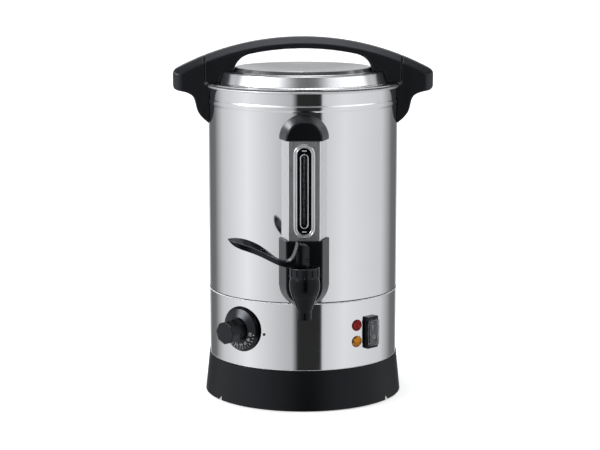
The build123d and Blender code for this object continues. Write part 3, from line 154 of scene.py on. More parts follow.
# Gauge: beads on the bezel and round the slot, the scale behind the tube and its marks
bezel_face = 3.95 * mm
outer_bead = 0.75 * mm
inner_bead = 0.65 * mm
bead_sink = 0.25 * mm
trim_bead = 0.5 * mm
trim_inset = 0.75 * mm
trim_sink = 0.2 * mm
scale_width = 9.0 * mm
scale_thickness = 0.8 * mm
level_marks = 11
level_pitch = 6.6 * mm
level_mark = (3.6 * mm, 0.9 * mm, 0.2 * mm)
limit_mark = (5.0 * mm, 1.0 * mm, 0.2 * mm)

# Dial: where its back is, the slope of its face, its numbers and its ticks
dial_angle = -40.1
dial_height = 89.6 * mm
dial_back = 110.0 * mm
dial_edge = 2.5 * mm
dial_cone = 3.5 * mm
dial_face_radius = 23.4 * mm
grip_root_radius = 14.6 * mm
first_number = 30
number_step = 10
number_count = 9
number_start = radians(10)
number_turn = radians(22.5)
number_radius = 17.4 * mm
number_size = 4.6 * mm
ticks_per_number = 2
tick_radius = 21.4 * mm
tick_mark = (2.2 * mm, 0.5 * mm, 0.12 * mm)
print_depth = 0.06 * mm

# Lamps and switch: each ring of a lens has its height, its radius, its sides and its turn in sides
lamp_angle = 33.2
seat_play = 0.05 * mm
lens_rings = (
    (0, 6.1 * mm, 24, 0),
    (0.7 * mm, 6.1 * mm, 24, 0),
    (1.2 * mm, 5.2 * mm, 12, 0.5),
    (1.6 * mm, 3.2 * mm, 6, 0),
    (1.7 * mm, 1.6 * mm, 6, 0.5),
)
switch_angle = 43.7
switch_height = 85.0 * mm
rocker_pivot_radius = 111.25 * mm
rocker_lean = 8
rocker_rise = 3.4 * mm
rocker_mark_size = 6.0 * mm
rocker_mark_reach = 6.0 * mm
lens_rim_radius = 6.15 * mm
lens_rim_bead = 0.5 * mm
cover_width = 15.2 * mm
cover_length = 29.4 * mm
cover_corner = 2.0 * mm
cover_seat = 113.7 * mm
cover_bead = 0.55 * mm

# Rings round the pot: the radius and height of the line each bead follows, and the bead's radius
rim_roll_ring = (110.0 * mm, 359.8 * mm, 1.25 * mm)
lid_edge_ring = (108.9 * mm, 362.1 * mm, 1.3 * mm)
# The seam ring is a dark bead of painted shade, standing for the shadow in the gap between the pot and the
# lower band
seam_shade_ring = (109.35 * mm, 124.75 * mm, 0.5 * mm)
seam_edge_ring = (109.25 * mm, 123.5 * mm, 0.95 * mm)
foot_edge_ring = (109.45 * mm, 47.0 * mm, 0.45 * mm)
# The foot ring is a dark bead of painted shade, for the shadowed gap between the lower band and the skirt
foot_shade_ring = (110.0 * mm, 45.9 * mm, 0.7 * mm)

# Handles: how far out the lid handle meets the side handles, and how near to it the edges stay sharp
handle_seam = 114.8 * mm
handle_seam_keep = 8.0 * mm

# Tap: the dots at the feet of the bonnet's flutes, the rim of its top, and the rib along the near side
# of the lever, whose top slopes down to it from a crown that stands up by a share of the drop. The rib's
# points are the reach along the lever, the rise above the bonnet and the half width there. The head of
# the lever bulges at its sides.
tap_reach = 159.0 * mm
bonnet_radius = 16.2 * mm
flute_count = 12
flute_dot = 0.7 * mm
flute_dot_rise = 1.4 * mm
bonnet_bead = 0.6 * mm
lever_turn = 10.5
rib_bead = 0.5 * mm
crown_share = 0.3
rib_line = (
    (30 * mm, 10.0 * mm, 5.5 * mm),
    (37 * mm, 13.2 * mm, 6.1 * mm),
    (45 * mm, 17.6 * mm, 7.2 * mm),
    (58 * mm, 24.2 * mm, 8.8 * mm),
    (68 * mm, 27.8 * mm, 8.7 * mm),
    (77 * mm, 30.6 * mm, 6.5 * mm),
    (81 * mm, 32.0 * mm, 4.7 * mm),
)
head_reach = 13.0 * mm
head_middle = 14.0 * mm
head_half_width = 7.0 * mm
head_bulge = 1.2 * mm
bulge_shift = 0.7

# Screws
plate_screw_head_radius = 3.2 * mm
plate_screw_head = 1.8 * mm
plate_screw_radius = 1.7 * mm
lid_screw_head_radius = 4.0 * mm
lid_screw_head = 2.2 * mm
lid_screw_radius = 2.0 * mm
recess_shares = (1.3, 0.28, 1.2)

# How finely round shapes are divided, and how far corners of one point may lie apart
bead_sides = 16
rib_sides = 12
lens_rim_sides = 12
seam_edge_sides = 4
screw_sides = 32
ring_steps = 360
rib_steps = 60
bead_corner_steps = 24
plate_corner_steps = 12
dot_fineness = 3
round_end_share = 0.499
smooth_share = 0.5
merge_reach = 0.001 * mm

# Patterns of the finishes: the scale of a noise, per metre, with its count of finer layers, the part
# of its range that is used, and how deep and strong the bumps are
streak_noise = (60, 4)
cloud_noise = (14, 3)
flow_noise = (22, 3)
flow_stretch = (1, 1, 0.4)
smudge_noise = (90, 3)
smudge_share = 0.9
pore_layers = 2
pore_strength = 0.35
cell_scale = 330
cell_strength = 0.3
cell_depth = 0.3 * mm
cell_roughness = 0.08
noise_low = 0.3
noise_high = 0.7
wave_depth = 0.4 * mm
gloss_tint = (0.87, 0.90, 1.0, 1)
black_cast = (1, 1.03, 1.2)
steel_cast = (1, 1.004, 1.02)
plain = (1, 1, 1)


# Camera and studio

def times(add, link, value, factor):
    """A value times a fixed factor."""
    product = add("ShaderNodeMath")
    product.operation = "MULTIPLY"
    product.inputs[1].default_value = factor
    link(value, product.inputs[0])
    return product.outputs[0]


def look_from_photo():
    """The camera, where the photograph's was."""
    data = bpy.data.cameras.new("photo_camera")
    data.sensor_width = camera_sensor
    data.lens = camera_lens
    data.clip_end = 2 * floor_reach
    camera = bpy.data.objects.new("photo_camera", data)
    camera.location = camera_place
    camera.rotation_euler = (radians(90 - camera_down), 0, radians(-camera_right))
    bpy.context.collection.objects.link(camera)
    bpy.context.scene.camera = camera


def ring_of_light(add, link, share, ring):
    """Light level by angle round the room."""
    levels = add("ShaderNodeValToRGB")
    stops = levels.color_ramp.elements
    while len(stops) < len(ring):
        stops.new(1.0)
    for stop, (turn, level) in zip(stops, ring):
        stop.position = (turn + 180) / 360
        stop.color = (*(level * part for part in room_tint), 1)
    link(share, levels.inputs[0])
    return levels.outputs[0]


def mix_light(add, link, factor, first, second):
    """The first light where the factor is 0, and the second where it is 1."""
    mixed = add("ShaderNodeMix")
    mixed.data_type = "RGBA"
    link(factor, mixed.inputs["Factor"])
    link(first, mixed.inputs["A"])
    link(second, mixed.inputs["B"])
    return mixed.outputs["Result"]


def light_room():
    """Rings of light that the steel mirrors, and a white view behind the boiler."""
    world = bpy.data.worlds.new("studio")
    bpy.context.scene.world = world
    world.use_nodes = True
    tree = world.node_tree
    tree.nodes.clear()
    add = tree.nodes.new
    link = tree.links.new
    place = add("ShaderNodeTexCoord")
    split = add("ShaderNodeSeparateXYZ")
    link(place.outputs["Generated"], split.inputs[0])
    angle = add("ShaderNodeMath")
    angle.operation = "ARCTAN2"
    link(split.outputs["X"], angle.inputs[0])
    link(times(add, link, split.outputs["Y"], -1), angle.inputs[1])
    share = add("ShaderNodeMapRange")
    share.inputs["From Min"].default_value = -pi
    share.inputs["From Max"].default_value = pi
    link(angle.outputs[0], share.inputs["Value"])
    room = ring_of_light(add, link, share.outputs[0], floor_ring)
    for start, full, ring in room_rings:
        height = add("ShaderNodeMapRange")
        height.interpolation_type = "SMOOTHSTEP"
        height.inputs["From Min"].default_value = sin(radians(start))
        height.inputs["From Max"].default_value = sin(radians(full))
        link(split.outputs["Z"], height.inputs["Value"])
        light = ring_of_light(add, link, share.outputs[0], ring)
        room = mix_light(add, link, height.outputs[0], room, light)
    path = add("ShaderNodeLightPath")
    seen = add("ShaderNodeMath")
    seen.operation = "MAXIMUM"
    link(path.outputs["Is Camera Ray"], seen.inputs[0])
    link(path.outputs["Is Transmission Ray"], seen.inputs[1])
    white = add("ShaderNodeRGB")
    white.outputs[0].default_value = (1, 1, 1, 1)
    glow = add("ShaderNodeBackground")
    link(mix_light(add, link, seen.outputs[0], room, white.outputs[0]), glow.inputs["Color"])
    out = add("ShaderNodeOutputWorld")
    link(glow.outputs[0], out.inputs["Surface"])


def hang_soft_lamp():
    """A broad lamp overhead, which the steel doesn't mirror."""
    data = bpy.data.lights.new("soft_lamp", "AREA")
    data.shape = "SQUARE"
    data.size = lamp_side
    data.energy = lamp_watts
    lamp = bpy.data.objects.new("soft_lamp", data)
    lamp.location = lamp_place
    lamp.rotation_euler = (radians(lamp_lean[0]), radians(lamp_lean[1]), 0)
    lamp.visible_glossy = False
    bpy.context.collection.objects.link(lamp)


def lay_floor():
    """A pale floor that keeps the boiler's shadow."""
    mesh = bpy.data.meshes.new("pale_floor")
    reach = floor_reach
    corners = [(-reach, -reach, 0), (reach, -reach, 0), (reach, reach, 0), (-reach, reach, 0)]
    mesh.from_pydata(corners, [], [(0, 1, 2, 3)])
    floor = bpy.data.objects.new("pale_floor", mesh)
    bpy.context.collection.objects.link(floor)
    floor.visible_glossy = False
    paper = bpy.data.materials.new("pale_paper")
    paper.use_nodes = True
    shader = paper.node_tree.nodes["Principled BSDF"]
    shader.inputs["Base Color"].default_value = (floor_tone, floor_tone, floor_tone, 1)
    shader.inputs["Roughness"].default_value = floor_roughness
    shader.inputs["Specular IOR Level"].default_value = 0
    shader.inputs["Emission Color"].default_value = (1, 1, 1, 1)
    add = paper.node_tree.nodes.new
    link = paper.node_tree.links.new
    rays = add("ShaderNodeLightPath")
    lift = times(add, link, rays.outputs["Is Camera Ray"], floor_lift)
    link(lift, shader.inputs["Emission Strength"])
    mesh.materials.append(paper)


# Finishes

def start_finish(name):
    """A material with its shader and the node tools that the finishes share."""
    finish = bpy.data.materials.new(name)
    finish.use_nodes = True
    tree = finish.node_tree
    return finish, tree.nodes["Principled BSDF"], tree.nodes.new, tree.links.new


def noise_on_object(add, link, scale, layers, stretch=plain):
    """A noise that stays with the piece, stretched along its axes."""
    place = add("ShaderNodeTexCoord")
    turn = add("ShaderNodeMapping")
    turn.inputs["Scale"].default_value = stretch
    noise = add("ShaderNodeTexNoise")
    noise.inputs["Scale"].default_value = scale
    noise.inputs["Detail"].default_value = layers
    link(place.outputs["Object"], turn.inputs["Vector"])
    link(turn.outputs["Vector"], noise.inputs["Vector"])
    return noise.outputs["Fac"]


def spread(add, link, value, low, high):
    """Maps the middle of a noise to the range from low to high."""
    span = add("ShaderNodeMapRange")
    span.inputs["From Min"].default_value = noise_low
    span.inputs["From Max"].default_value = noise_high
    span.inputs["To Min"].default_value = low
    span.inputs["To Max"].default_value = high
    link(value, span.inputs["Value"])
    return span.outputs[0]


def two_tones(add, link, value, first, second):
    """A colour between two tones."""
    tones = add("ShaderNodeMix")
    tones.data_type = "RGBA"
    tones.inputs["A"].default_value = (*first, 1)
    tones.inputs["B"].default_value = (*second, 1)
    link(value, tones.inputs["Factor"])
    return tones.outputs["Result"]


def raise_surface(add, link, shader, value, strength, depth):
    """Bumps on a shader's surface."""
    bump = add("ShaderNodeBump")
    bump.inputs["Strength"].default_value = strength
    bump.inputs["Distance"].default_value = depth
    link(value, bump.inputs["Height"])
    link(bump.outputs["Normal"], shader.inputs["Normal"])


def sheet_metal(name, first, second, smooth, rough, streak, wave):
    """Metal with fine streaks in its gloss, a little change of tone and a trace of waviness."""
    finish, shader, add, link = start_finish(name)
    shader.inputs["Metallic"].default_value = 1.0
    streaks = noise_on_object(add, link, *streak_noise, streak)
    clouds = noise_on_object(add, link, *cloud_noise)
    link(two_tones(add, link, clouds, first, second), shader.inputs["Base Color"])
    link(spread(add, link, streaks, smooth, rough), shader.inputs["Roughness"])
    raise_surface(add, link, shader, clouds, wave, wave_depth)
    return finish


def moulded_plastic(name, first, second, smooth, rough, grain, grain_depth, gloss=0.5):
    """Moulded plastic with a fine grain, faint flow marks in its tone and uneven gloss."""
    finish, shader, add, link = start_finish(name)
    shader.inputs["Specular IOR Level"].default_value = gloss
    shader.inputs["Specular Tint"].default_value = gloss_tint
    flow = noise_on_object(add, link, *flow_noise, flow_stretch)
    pores = noise_on_object(add, link, grain, pore_layers)
    link(two_tones(add, link, flow, first, second), shader.inputs["Base Color"])
    link(spread(add, link, flow, smooth, rough), shader.inputs["Roughness"])
    raise_surface(add, link, shader, pores, pore_strength, grain_depth)
    return finish


def clear_plastic(name, tone, pass_through, bend, smooth, rough):
    """Clear plastic or glass with faint smudges."""
    finish, shader, add, link = start_finish(name)
    shader.inputs["Transmission Weight"].default_value = pass_through
    shader.inputs["IOR"].default_value = bend
    smudge = noise_on_object(add, link, *smudge_noise)
    dull = tuple(smudge_share * part for part in tone)
    link(two_tones(add, link, smudge, tone, dull), shader.inputs["Base Color"])
    link(spread(add, link, smudge, smooth, rough), shader.inputs["Roughness"])
    return finish


def painted_glint_plastic(name, bright, dim, pass_through, gloss):
    """Tinted plastic with cells of brighter and dimmer colour, painted glints and shade where a cut back
    would catch and lose the light, over bumps of the same cells.
    """
    finish, shader, add, link = start_finish(name)
    shader.inputs["Transmission Weight"].default_value = pass_through
    shader.inputs["Specular IOR Level"].default_value = gloss
    shader.inputs["Roughness"].default_value = cell_roughness
    place = add("ShaderNodeTexCoord")
    cells = add("ShaderNodeTexVoronoi")
    cells.inputs["Scale"].default_value = cell_scale
    link(place.outputs["Object"], cells.inputs["Vector"])
    level = add("ShaderNodeSeparateColor")
    link(cells.outputs["Color"], level.inputs[0])
    link(two_tones(add, link, level.outputs[0], bright, dim), shader.inputs["Base Color"])
    raise_surface(add, link, shader, cells.outputs["Distance"], cell_strength, cell_depth)
    return finish


def grey(level, tint=0.0):
    """A grey, with a share more blue."""
    return (level, level, level * (1 + tint))


def black(level):
    """A near black with the cool cast of moulded plastic."""
    return tuple(level * part for part in black_cast)


def steel(level):
    """A grey with the faint blue of steel."""
    return tuple(level * part for part in steel_cast)


polished_steel = sheet_metal("polished_steel", steel(0.74), steel(0.70), 0.05, 0.10, (1, 1, 30), 0.02)
brushed_steel = sheet_metal("brushed_steel", steel(0.82), steel(0.76), 0.26, 0.36, (30, 30, 1), 0.03)
lid_steel = sheet_metal("lid_steel", steel(0.74), steel(0.70), 0.13, 0.19, (1, 1, 30), 0.02)
chrome = sheet_metal("bright_chrome", steel(0.82), steel(0.76), 0.08, 0.14, plain, 0.01)
# Near-white rough steel, lighter than real steel: a painted highlight for the lit top edge of the lower
# band
painted_highlight_steel = sheet_metal("painted_highlight_steel", steel(0.97), steel(0.94), 0.85, 0.95, plain, 0.02)
satin_silver = sheet_metal("satin_silver", steel(0.76), steel(0.68), 0.42, 0.52, plain, 0.02)
zinc = sheet_metal("zinc_plate", grey(0.60), grey(0.50, 0.02), 0.28, 0.42, plain, 0.10)
aluminium = sheet_metal("cast_aluminium", grey(0.62), grey(0.55), 0.35, 0.50, plain, 0.25)
element_steel = sheet_metal("heated_steel", (0.30, 0.28, 0.26), (0.22, 0.19, 0.18), 0.35, 0.50, plain, 0.20)
copper = sheet_metal("copper_tube", (0.72, 0.42, 0.28), (0.60, 0.33, 0.20), 0.25, 0.40, plain, 0.10)
dark_metal = sheet_metal("dark_metal", black(0.05), black(0.04), 0.35, 0.45, plain, 0.05)
handle_black = moulded_plastic("handle_black", black(0.003), black(0.0045), 0.30, 0.38, 2600, 0.03 * mm)
housing_black = moulded_plastic(
    "housing_black", black(0.002), black(0.003), 0.26, 0.34, 2400, 0.03 * mm, 0.32
)
skirt_black = moulded_plastic("skirt_black", black(0.002), black(0.003), 0.32, 0.42, 1800, 0.05 * mm, 0.23)
tap_black = moulded_plastic("tap_black", black(0.0015), black(0.0025), 0.16, 0.22, 2600, 0.02 * mm, 0.18)
lever_black = moulded_plastic("lever_black", black(0.002), black(0.003), 0.18, 0.24, 2600, 0.02 * mm, 0.34)
edge_black = moulded_plastic("edge_black", black(0.003), black(0.004), 0.20, 0.28, 2600, 0.02 * mm, 1.0)
# Grey far lighter than the lever's black: a painted highlight along the rib on the lever's near side
painted_highlight_rib = moulded_plastic("painted_highlight_rib", black(0.09), black(0.11), 0.30, 0.40, 2600, 0.02 * mm)
gloss_black = moulded_plastic("gloss_black", black(0.002), black(0.003), 0.14, 0.20, 3000, 0.02 * mm, 0.25)
dial_black = moulded_plastic("dial_black", black(0.002), black(0.003), 0.16, 0.22, 2600, 0.02 * mm, 0.34)
rubber_black = moulded_plastic("rubber_black", grey(0.018), grey(0.026), 0.60, 0.75, 1500, 0.10 * mm)
silicone_grey = moulded_plastic("silicone_grey", grey(0.42), grey(0.36), 0.45, 0.60, 1500, 0.05 * mm)
cream = (0.66, 0.62, 0.50)
dull_cream = (0.58, 0.54, 0.42)
cream_plastic = moulded_plastic("cream_plastic", cream, dull_cream, 0.40, 0.55, 1800, 0.05 * mm)
wire_sleeve = moulded_plastic("wire_sleeve", dull_cream, (0.46, 0.43, 0.36), 0.50, 0.65, 1500, 0.08 * mm)
pale_print = moulded_plastic("pale_print", grey(0.68), grey(0.60), 0.45, 0.60, 1800, 0.01 * mm)
dark_print = moulded_plastic("dark_print", black(0.01), black(0.015), 0.45, 0.60, 1800, 0.01 * mm)
scale_grey = moulded_plastic("scale_grey", black(0.55), black(0.62), 0.40, 0.55, 1800, 0.02 * mm, 0.3)
tube_glass = clear_plastic("tube_glass", (0.80, 0.81, 0.82), 1.0, 1.45, 0.10, 0.16)
cover_clear = clear_plastic("cover_clear", (0.74, 0.75, 0.77), 0.96, 1.40, 0.06, 0.12)
# The rim's paler, less clear plastic is partly the rim's own colour and partly a painted highlight on the
# cover's edges
cover_rim_and_highlight = clear_plastic("cover_rim_and_highlight", (0.62, 0.63, 0.65), 0.55, 1.40, 0.15, 0.25)
# The lenses' bright and dim tones are painted glints and shade of their cut backs
red_lens = painted_glint_plastic("red_lens", (0.46, 0.008, 0.006), (0.06, 0.001, 0.001), 0.10, 0.12)
amber_lens = painted_glint_plastic("amber_lens", (0.86, 0.33, 0.008), (0.22, 0.05, 0.001), 0.10, 0.12)

finish_of_node = {
    polished_steel: ("pot", "lower_band"),
    lid_steel: ("lid",),
    brushed_steel: ("gauge_cover",),
    chrome: ("outlet_nut",),
    satin_silver: ("gauge_bezel",),
    zinc: (
        "bottom_screws",
        "heat_shield",
        "lid_handle_screws",
        "side_handle_screws",
        "tap_spring",
        "tap_stem",
        "thermostat_screws",
        "thermostat_shaft",
        "tie_rod",
        "tie_rod_nut",
    ),
    dark_metal: ("lever_pin", "dial_index"),
    aluminium: ("heater_plate",),
    element_steel: ("heating_element",),
    copper: ("thermostat_bulb",),
    handle_black: ("lid_handle", "left_side_handle", "right_side_handle"),
    housing_black: ("gauge_cap", "tap_housing", "outlet_block", "tap_bonnet"),
    skirt_black: ("base_skirt", "bottom_plate", "cord_gland", "cord_gland_nut"),
    tap_black: ("tap_body", "tap_lever", "tap_locknut", "tap_swivel_ring"),
    dial_black: ("thermostat_knob",),
    gloss_black: ("switch_bezel", "switch_body", "gauge_panel", "gauge_slot_trim", "switch_rocker"),
    rubber_black: ("foot_ring", "lid_gasket"),
    silicone_grey: ("outlet_washers", "tap_seat_cup", "tube_bottom_seal", "tube_top_seal"),
    cream_plastic: ("terminal_block", "thermal_cutout", "lamp_bodies", "thermostat_body"),
    wire_sleeve: ("wiring",),
    tube_glass: ("sight_tube",),
    cover_clear: ("switch_splash_cover",),
    red_lens: ("red_lamp_lens",),
    amber_lens: ("amber_lamp_lens",),
}
# Mouldings with rounded edges: the node, the grain of its new skin, how often it is smoothed, its finish
soft_edges = (
    ("lid_handle", 0.8 * mm, 14, handle_black),
    ("left_side_handle", 0.8 * mm, 14, handle_black),
    ("right_side_handle", 0.8 * mm, 14, handle_black),
    ("gauge_cap", 0.7 * mm, 3, housing_black),
    ("tap_housing", 0.7 * mm, 3, housing_black),
    ("tap_lever", 0.5 * mm, 4, lever_black),
)


def dress_nodes():
    """Gives each node of the frame its finish."""
    for finish, dressed in finish_of_node.items():
        for node in dressed:
            for place in nodes[node].material_slots:
                place.material = finish


# Making and placing pieces

def facing(angle, height, radius):
    """Frame on the wall: X to the right, Y up and Z straight out, at an angle round the pot."""
    turn = radians(angle)
    across = (cos(turn), sin(turn), 0, 0)
    out = (sin(turn), -cos(turn), 0, 0)
    origin = (radius * sin(turn), -radius * cos(turn), height, 1)
    return Matrix((across, (0, 0, 1, 0), out, origin)).transposed()


def fit(name, mesh, body, slot, *stands_for):
    """Puts a finished mesh on a body and hides the nodes that it stands for. The slot is not used."""
    mesh.name = name
    piece = bpy.data.objects.new(name, mesh)
    bpy.context.collection.objects.link(piece)
    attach(piece, body)
    if stands_for:
        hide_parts(*stands_for)
    return piece


def plain_mesh(maker):
    """The mesh of an object with its modifiers or its outline worked out. The object is removed."""
    bpy.context.collection.objects.link(maker)
    view = bpy.context.evaluated_depsgraph_get()
    mesh = bpy.data.meshes.new_from_object(maker.evaluated_get(view))
    bpy.data.objects.remove(maker)
    return mesh


def lever_frame():
    """The point on the bonnet under the lever, the way the lever points and the way to its near side."""
    turn = radians(lever_turn)
    foot = Vector((0, -tap_reach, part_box("tap_bonnet")[1].z))
    return foot, Vector((-cos(turn), -sin(turn), 0)), Vector((sin(turn), -cos(turn), 0))


def edge_of_lever(reach):
    """Rise and half width of the lever's edge at a reach, between the points of its rib."""
    for (start, low, narrow), (end, high, wide) in zip(rib_line, rib_line[1:]):
        if reach <= end:
            share = (reach - start) / (end - start)
            return low + share * (high - low), narrow + share * (wide - narrow)
    return rib_line[-1][1:]


def round_lever(skin):
    """Crowns the lever's top, with its edges down at the rib, and rounds the cheeks of its head."""
    foot, out, near = lever_frame()
    for vertex in skin.vertices:
        place = vertex.co - foot
        reach = place.dot(out)
        side = place.dot(near)
        if reach > rib_line[0][0]:
            rise, half = edge_of_lever(reach)
            over = max(0, place.z - rise)
            edge_share = min(1, abs(side) / half)
            vertex.co.z += over * (crown_share - (1 + crown_share) * edge_share)
        elif reach < head_reach:
            along = (2 * reach / head_reach - bulge_shift) ** 2
            up = (place.z / head_middle - 1) ** 2
            bulge = head_bulge * max(0, 1 - along) * max(0, 1 - up)
            vertex.co += near * bulge * side / head_half_width


def merged_copy(node):
    """A copy of a node's mesh with its triangles joined up."""
    mesh = nodes[node].data.copy()
    shape = bmesh.new()
    shape.from_mesh(mesh)
    bmesh.ops.remove_doubles(shape, verts=shape.verts, dist=merge_reach)
    shape.to_mesh(mesh)
    shape.free()
    return mesh


def make_return_spring():
    """Stands a copy of the return spring in for it."""
    wire = merged_copy("tap_spring")
    body = body_of_node["tap_spring"]
    spring = fit("return_spring", wire, body, slot_of_node["tap_spring"], "tap_spring")
    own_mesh(spring)


def soften(node, grain, passes, finish):
    """Stands a copy of a node in for it, with its edges rounded as a moulding's are."""
    maker = bpy.data.objects.new("maker", merged_copy(node))
    even = maker.modifiers.new("even", "REMESH")
    even.mode = "VOXEL"
    even.voxel_size = grain
    even.use_smooth_shade = True
    skin = plain_mesh(maker)
    if node == "tap_lever":
        round_lever(skin)
    maker = bpy.data.objects.new("maker", skin)
    free = maker.vertex_groups.new(name="free")
    for vertex in skin.vertices:
        apart = abs(abs(vertex.co.x) - handle_seam)
        free.add([vertex.index], min(1, apart / handle_seam_keep), "REPLACE")
    rounded = maker.modifiers.new("rounded", "SMOOTH")
    rounded.factor = smooth_share
    rounded.iterations = passes
    rounded.vertex_group = "free"
    result = plain_mesh(maker)
    result.materials.clear()
    result.materials.append(finish)
    fit("moulded_" + node, result, body_of_node[node], slot_of_node[node], node)


def start_tree(name, sizes):
    """A tree of geometry nodes with an input for its points, one for each size and one for its finish."""
    tree = bpy.data.node_groups.new(name, "GeometryNodeTree")
    tree.interface.new_socket("Points", in_out="INPUT", socket_type="NodeSocketGeometry")
    for size, kind in sizes.items():
        tree.interface.new_socket(size, in_out="INPUT", socket_type="NodeSocket" + kind)
    tree.interface.new_socket("Finish", in_out="INPUT", socket_type="NodeSocketMaterial")
    tree.interface.new_socket("Shape", in_out="OUTPUT", socket_type="NodeSocketGeometry")
    return tree, tree.nodes.new, tree.links.new, tree.nodes.new("NodeGroupInput").outputs


def end_tree(tree, shape, given):
    """Makes the tree's shape real geometry and gives it its finish."""
    real = tree.nodes.new("GeometryNodeRealizeInstances")
    coat = tree.nodes.new("GeometryNodeSetMaterial")
    out = tree.nodes.new("NodeGroupOutput")
    tree.links.new(shape, real.inputs["Geometry"])
    tree.links.new(real.outputs[0], coat.inputs["Geometry"])
    tree.links.new(given["Finish"], coat.inputs["Material"])
    tree.links.new(coat.outputs[0], out.inputs["Shape"])
    return tree


def grow(tree, finish, points=((0, 0, 0),), **sizes):
    """Works a tree out with these sizes, on these points, and returns its mesh."""
    start = bpy.data.meshes.new("start")
    start.from_pydata(points, [], [])
    maker = bpy.data.objects.new("maker", start)
    step = maker.modifiers.new("grow", "NODES")
    step.node_group = tree
    for socket in tree.interface.items_tree:
        if socket.in_out == "INPUT" and socket.name in sizes:
            step[socket.identifier] = sizes[socket.name]
        elif socket.in_out == "INPUT" and socket.name == "Finish":
            step[socket.identifier] = finish
    return plain_mesh(maker)


def join(meshes):
    """One mesh from several that share a finish."""
    finish = meshes[0].materials[0]
    shape = bmesh.new()
    for mesh in meshes:
        shape.from_mesh(mesh)
    result = bpy.data.meshes.new("joined")
    shape.to_mesh(result)
    shape.free()
    result.materials.append(finish)
    return result


def lettering(words, size, depth, finish):
    """Flat raised print, centred on its origin."""
    curve = bpy.data.curves.new("print", "FONT")
    curve.body = words
    curve.size = size
    curve.extrude = depth
    curve.align_x = "CENTER"
    curve.align_y = "CENTER"
    mesh = plain_mesh(bpy.data.objects.new("print", curve))
    mesh.materials.clear()
    mesh.materials.append(finish)
    return mesh


# Trees for what repeats or follows a path

def round_outline(add, link, given, corner, steps):
    """An upright outline of the given width and height, whose corners are round."""
    outline = add("GeometryNodeCurvePrimitiveQuadrilateral")
    link(given["Width"], outline.inputs["Width"])
    link(given["Height"], outline.inputs["Height"])
    ends = add("GeometryNodeFilletCurve")
    ends.mode = "POLY"
    ends.inputs["Count"].default_value = steps
    link(outline.outputs[0], ends.inputs["Curve"])
    link(corner, ends.inputs["Radius"])
    return ends.outputs[0]


def bead_along(add, link, given, curve):
    """A bead along a curve, with the given radius and count of sides."""
    section = add("GeometryNodeCurvePrimitiveCircle")
    link(given["Sides"], section.inputs["Resolution"])
    link(given["Bead"], section.inputs["Radius"])
    tube = add("GeometryNodeCurveToMesh")
    tube.inputs["Fill Caps"].default_value = True
    link(curve, tube.inputs["Curve"])
    link(section.outputs["Curve"], tube.inputs["Profile Curve"])
    return tube.outputs[0]


def shaded_smooth(add, link, shape):
    smooth = add("GeometryNodeSetShadeSmooth")
    link(shape, smooth.inputs["Geometry"])
    return smooth.outputs[0]


def copies_on(add, link, points, shape):
    """A copy of a shape on each point, as a node whose copies can still be turned."""
    copies = add("GeometryNodeInstanceOnPoints")
    link(points, copies.inputs["Points"])
    link(shape, copies.inputs["Instance"])
    return copies


def slot_bead_tree():
    """A bead that follows an upright outline with round corners."""
    sizes = {"Width": "Float", "Height": "Float", "Corner": "Float", "Bead": "Float", "Sides": "Int"}
    tree, add, link, given = start_tree("slot_bead", sizes)
    outline = round_outline(add, link, given, given["Corner"], bead_corner_steps)
    bead = bead_along(add, link, given, outline)
    return end_tree(tree, shaded_smooth(add, link, bead), given)


def ring_bead_tree():
    """A bead in a level ring."""
    sizes = {"Radius": "Float", "Bead": "Float", "Sides": "Int"}
    tree, add, link, given = start_tree("ring_bead", sizes)
    ring = add("GeometryNodeCurvePrimitiveCircle")
    ring.inputs["Resolution"].default_value = ring_steps
    link(given["Radius"], ring.inputs["Radius"])
    bead = bead_along(add, link, given, ring.outputs["Curve"])
    return end_tree(tree, shaded_smooth(add, link, bead), given)


def slot_plate_tree():
    """A thin plate with round ends."""
    sizes = {"Width": "Float", "Height": "Float", "Thickness": "Float"}
    tree, add, link, given = start_tree("slot_plate", sizes)
    corner = times(add, link, given["Width"], round_end_share)
    back = add("GeometryNodeFillCurve")
    link(round_outline(add, link, given, corner, plate_corner_steps), back.inputs["Curve"])
    front = add("GeometryNodeExtrudeMesh")
    front.inputs["Individual"].default_value = False
    link(back.outputs[0], front.inputs["Mesh"])
    link(given["Thickness"], front.inputs["Offset Scale"])
    turned = add("GeometryNodeFlipFaces")
    link(back.outputs[0], turned.inputs["Mesh"])
    both = add("GeometryNodeJoinGeometry")
    link(turned.outputs[0], both.inputs[0])
    link(front.outputs["Mesh"], both.inputs[0])
    closed = add("GeometryNodeMergeByDistance")
    closed.inputs["Distance"].default_value = merge_reach
    link(both.outputs[0], closed.inputs["Geometry"])
    return end_tree(tree, closed.outputs[0], given)


def rib_tree():
    """A round rib through the points."""
    tree, add, link, given = start_tree("rib", {"Bead": "Float", "Sides": "Int"})
    points = add("GeometryNodeMeshToPoints")
    link(given["Points"], points.inputs["Mesh"])
    line = add("GeometryNodePointsToCurves")
    link(points.outputs[0], line.inputs["Points"])
    order = add("GeometryNodeInputIndex")
    link(order.outputs[0], line.inputs["Weight"])
    bent = add("GeometryNodeCurveSplineType")
    bent.spline_type = "CATMULL_ROM"
    link(line.outputs[0], bent.inputs["Curve"])
    fine = add("GeometryNodeResampleCurve")
    fine.inputs["Count"].default_value = rib_steps
    link(bent.outputs[0], fine.inputs["Curve"])
    return end_tree(tree, bead_along(add, link, given, fine.outputs[0]), given)


def dot_on_points_tree():
    """A small dome on each point."""
    tree, add, link, given = start_tree("dots_on_points", {"Dot": "Float"})
    dot = add("GeometryNodeMeshIcoSphere")
    dot.inputs["Subdivisions"].default_value = dot_fineness
    link(given["Dot"], dot.inputs["Radius"])
    dots = copies_on(add, link, given["Points"], shaded_smooth(add, link, dot.outputs["Mesh"]))
    return end_tree(tree, dots.outputs[0], given)


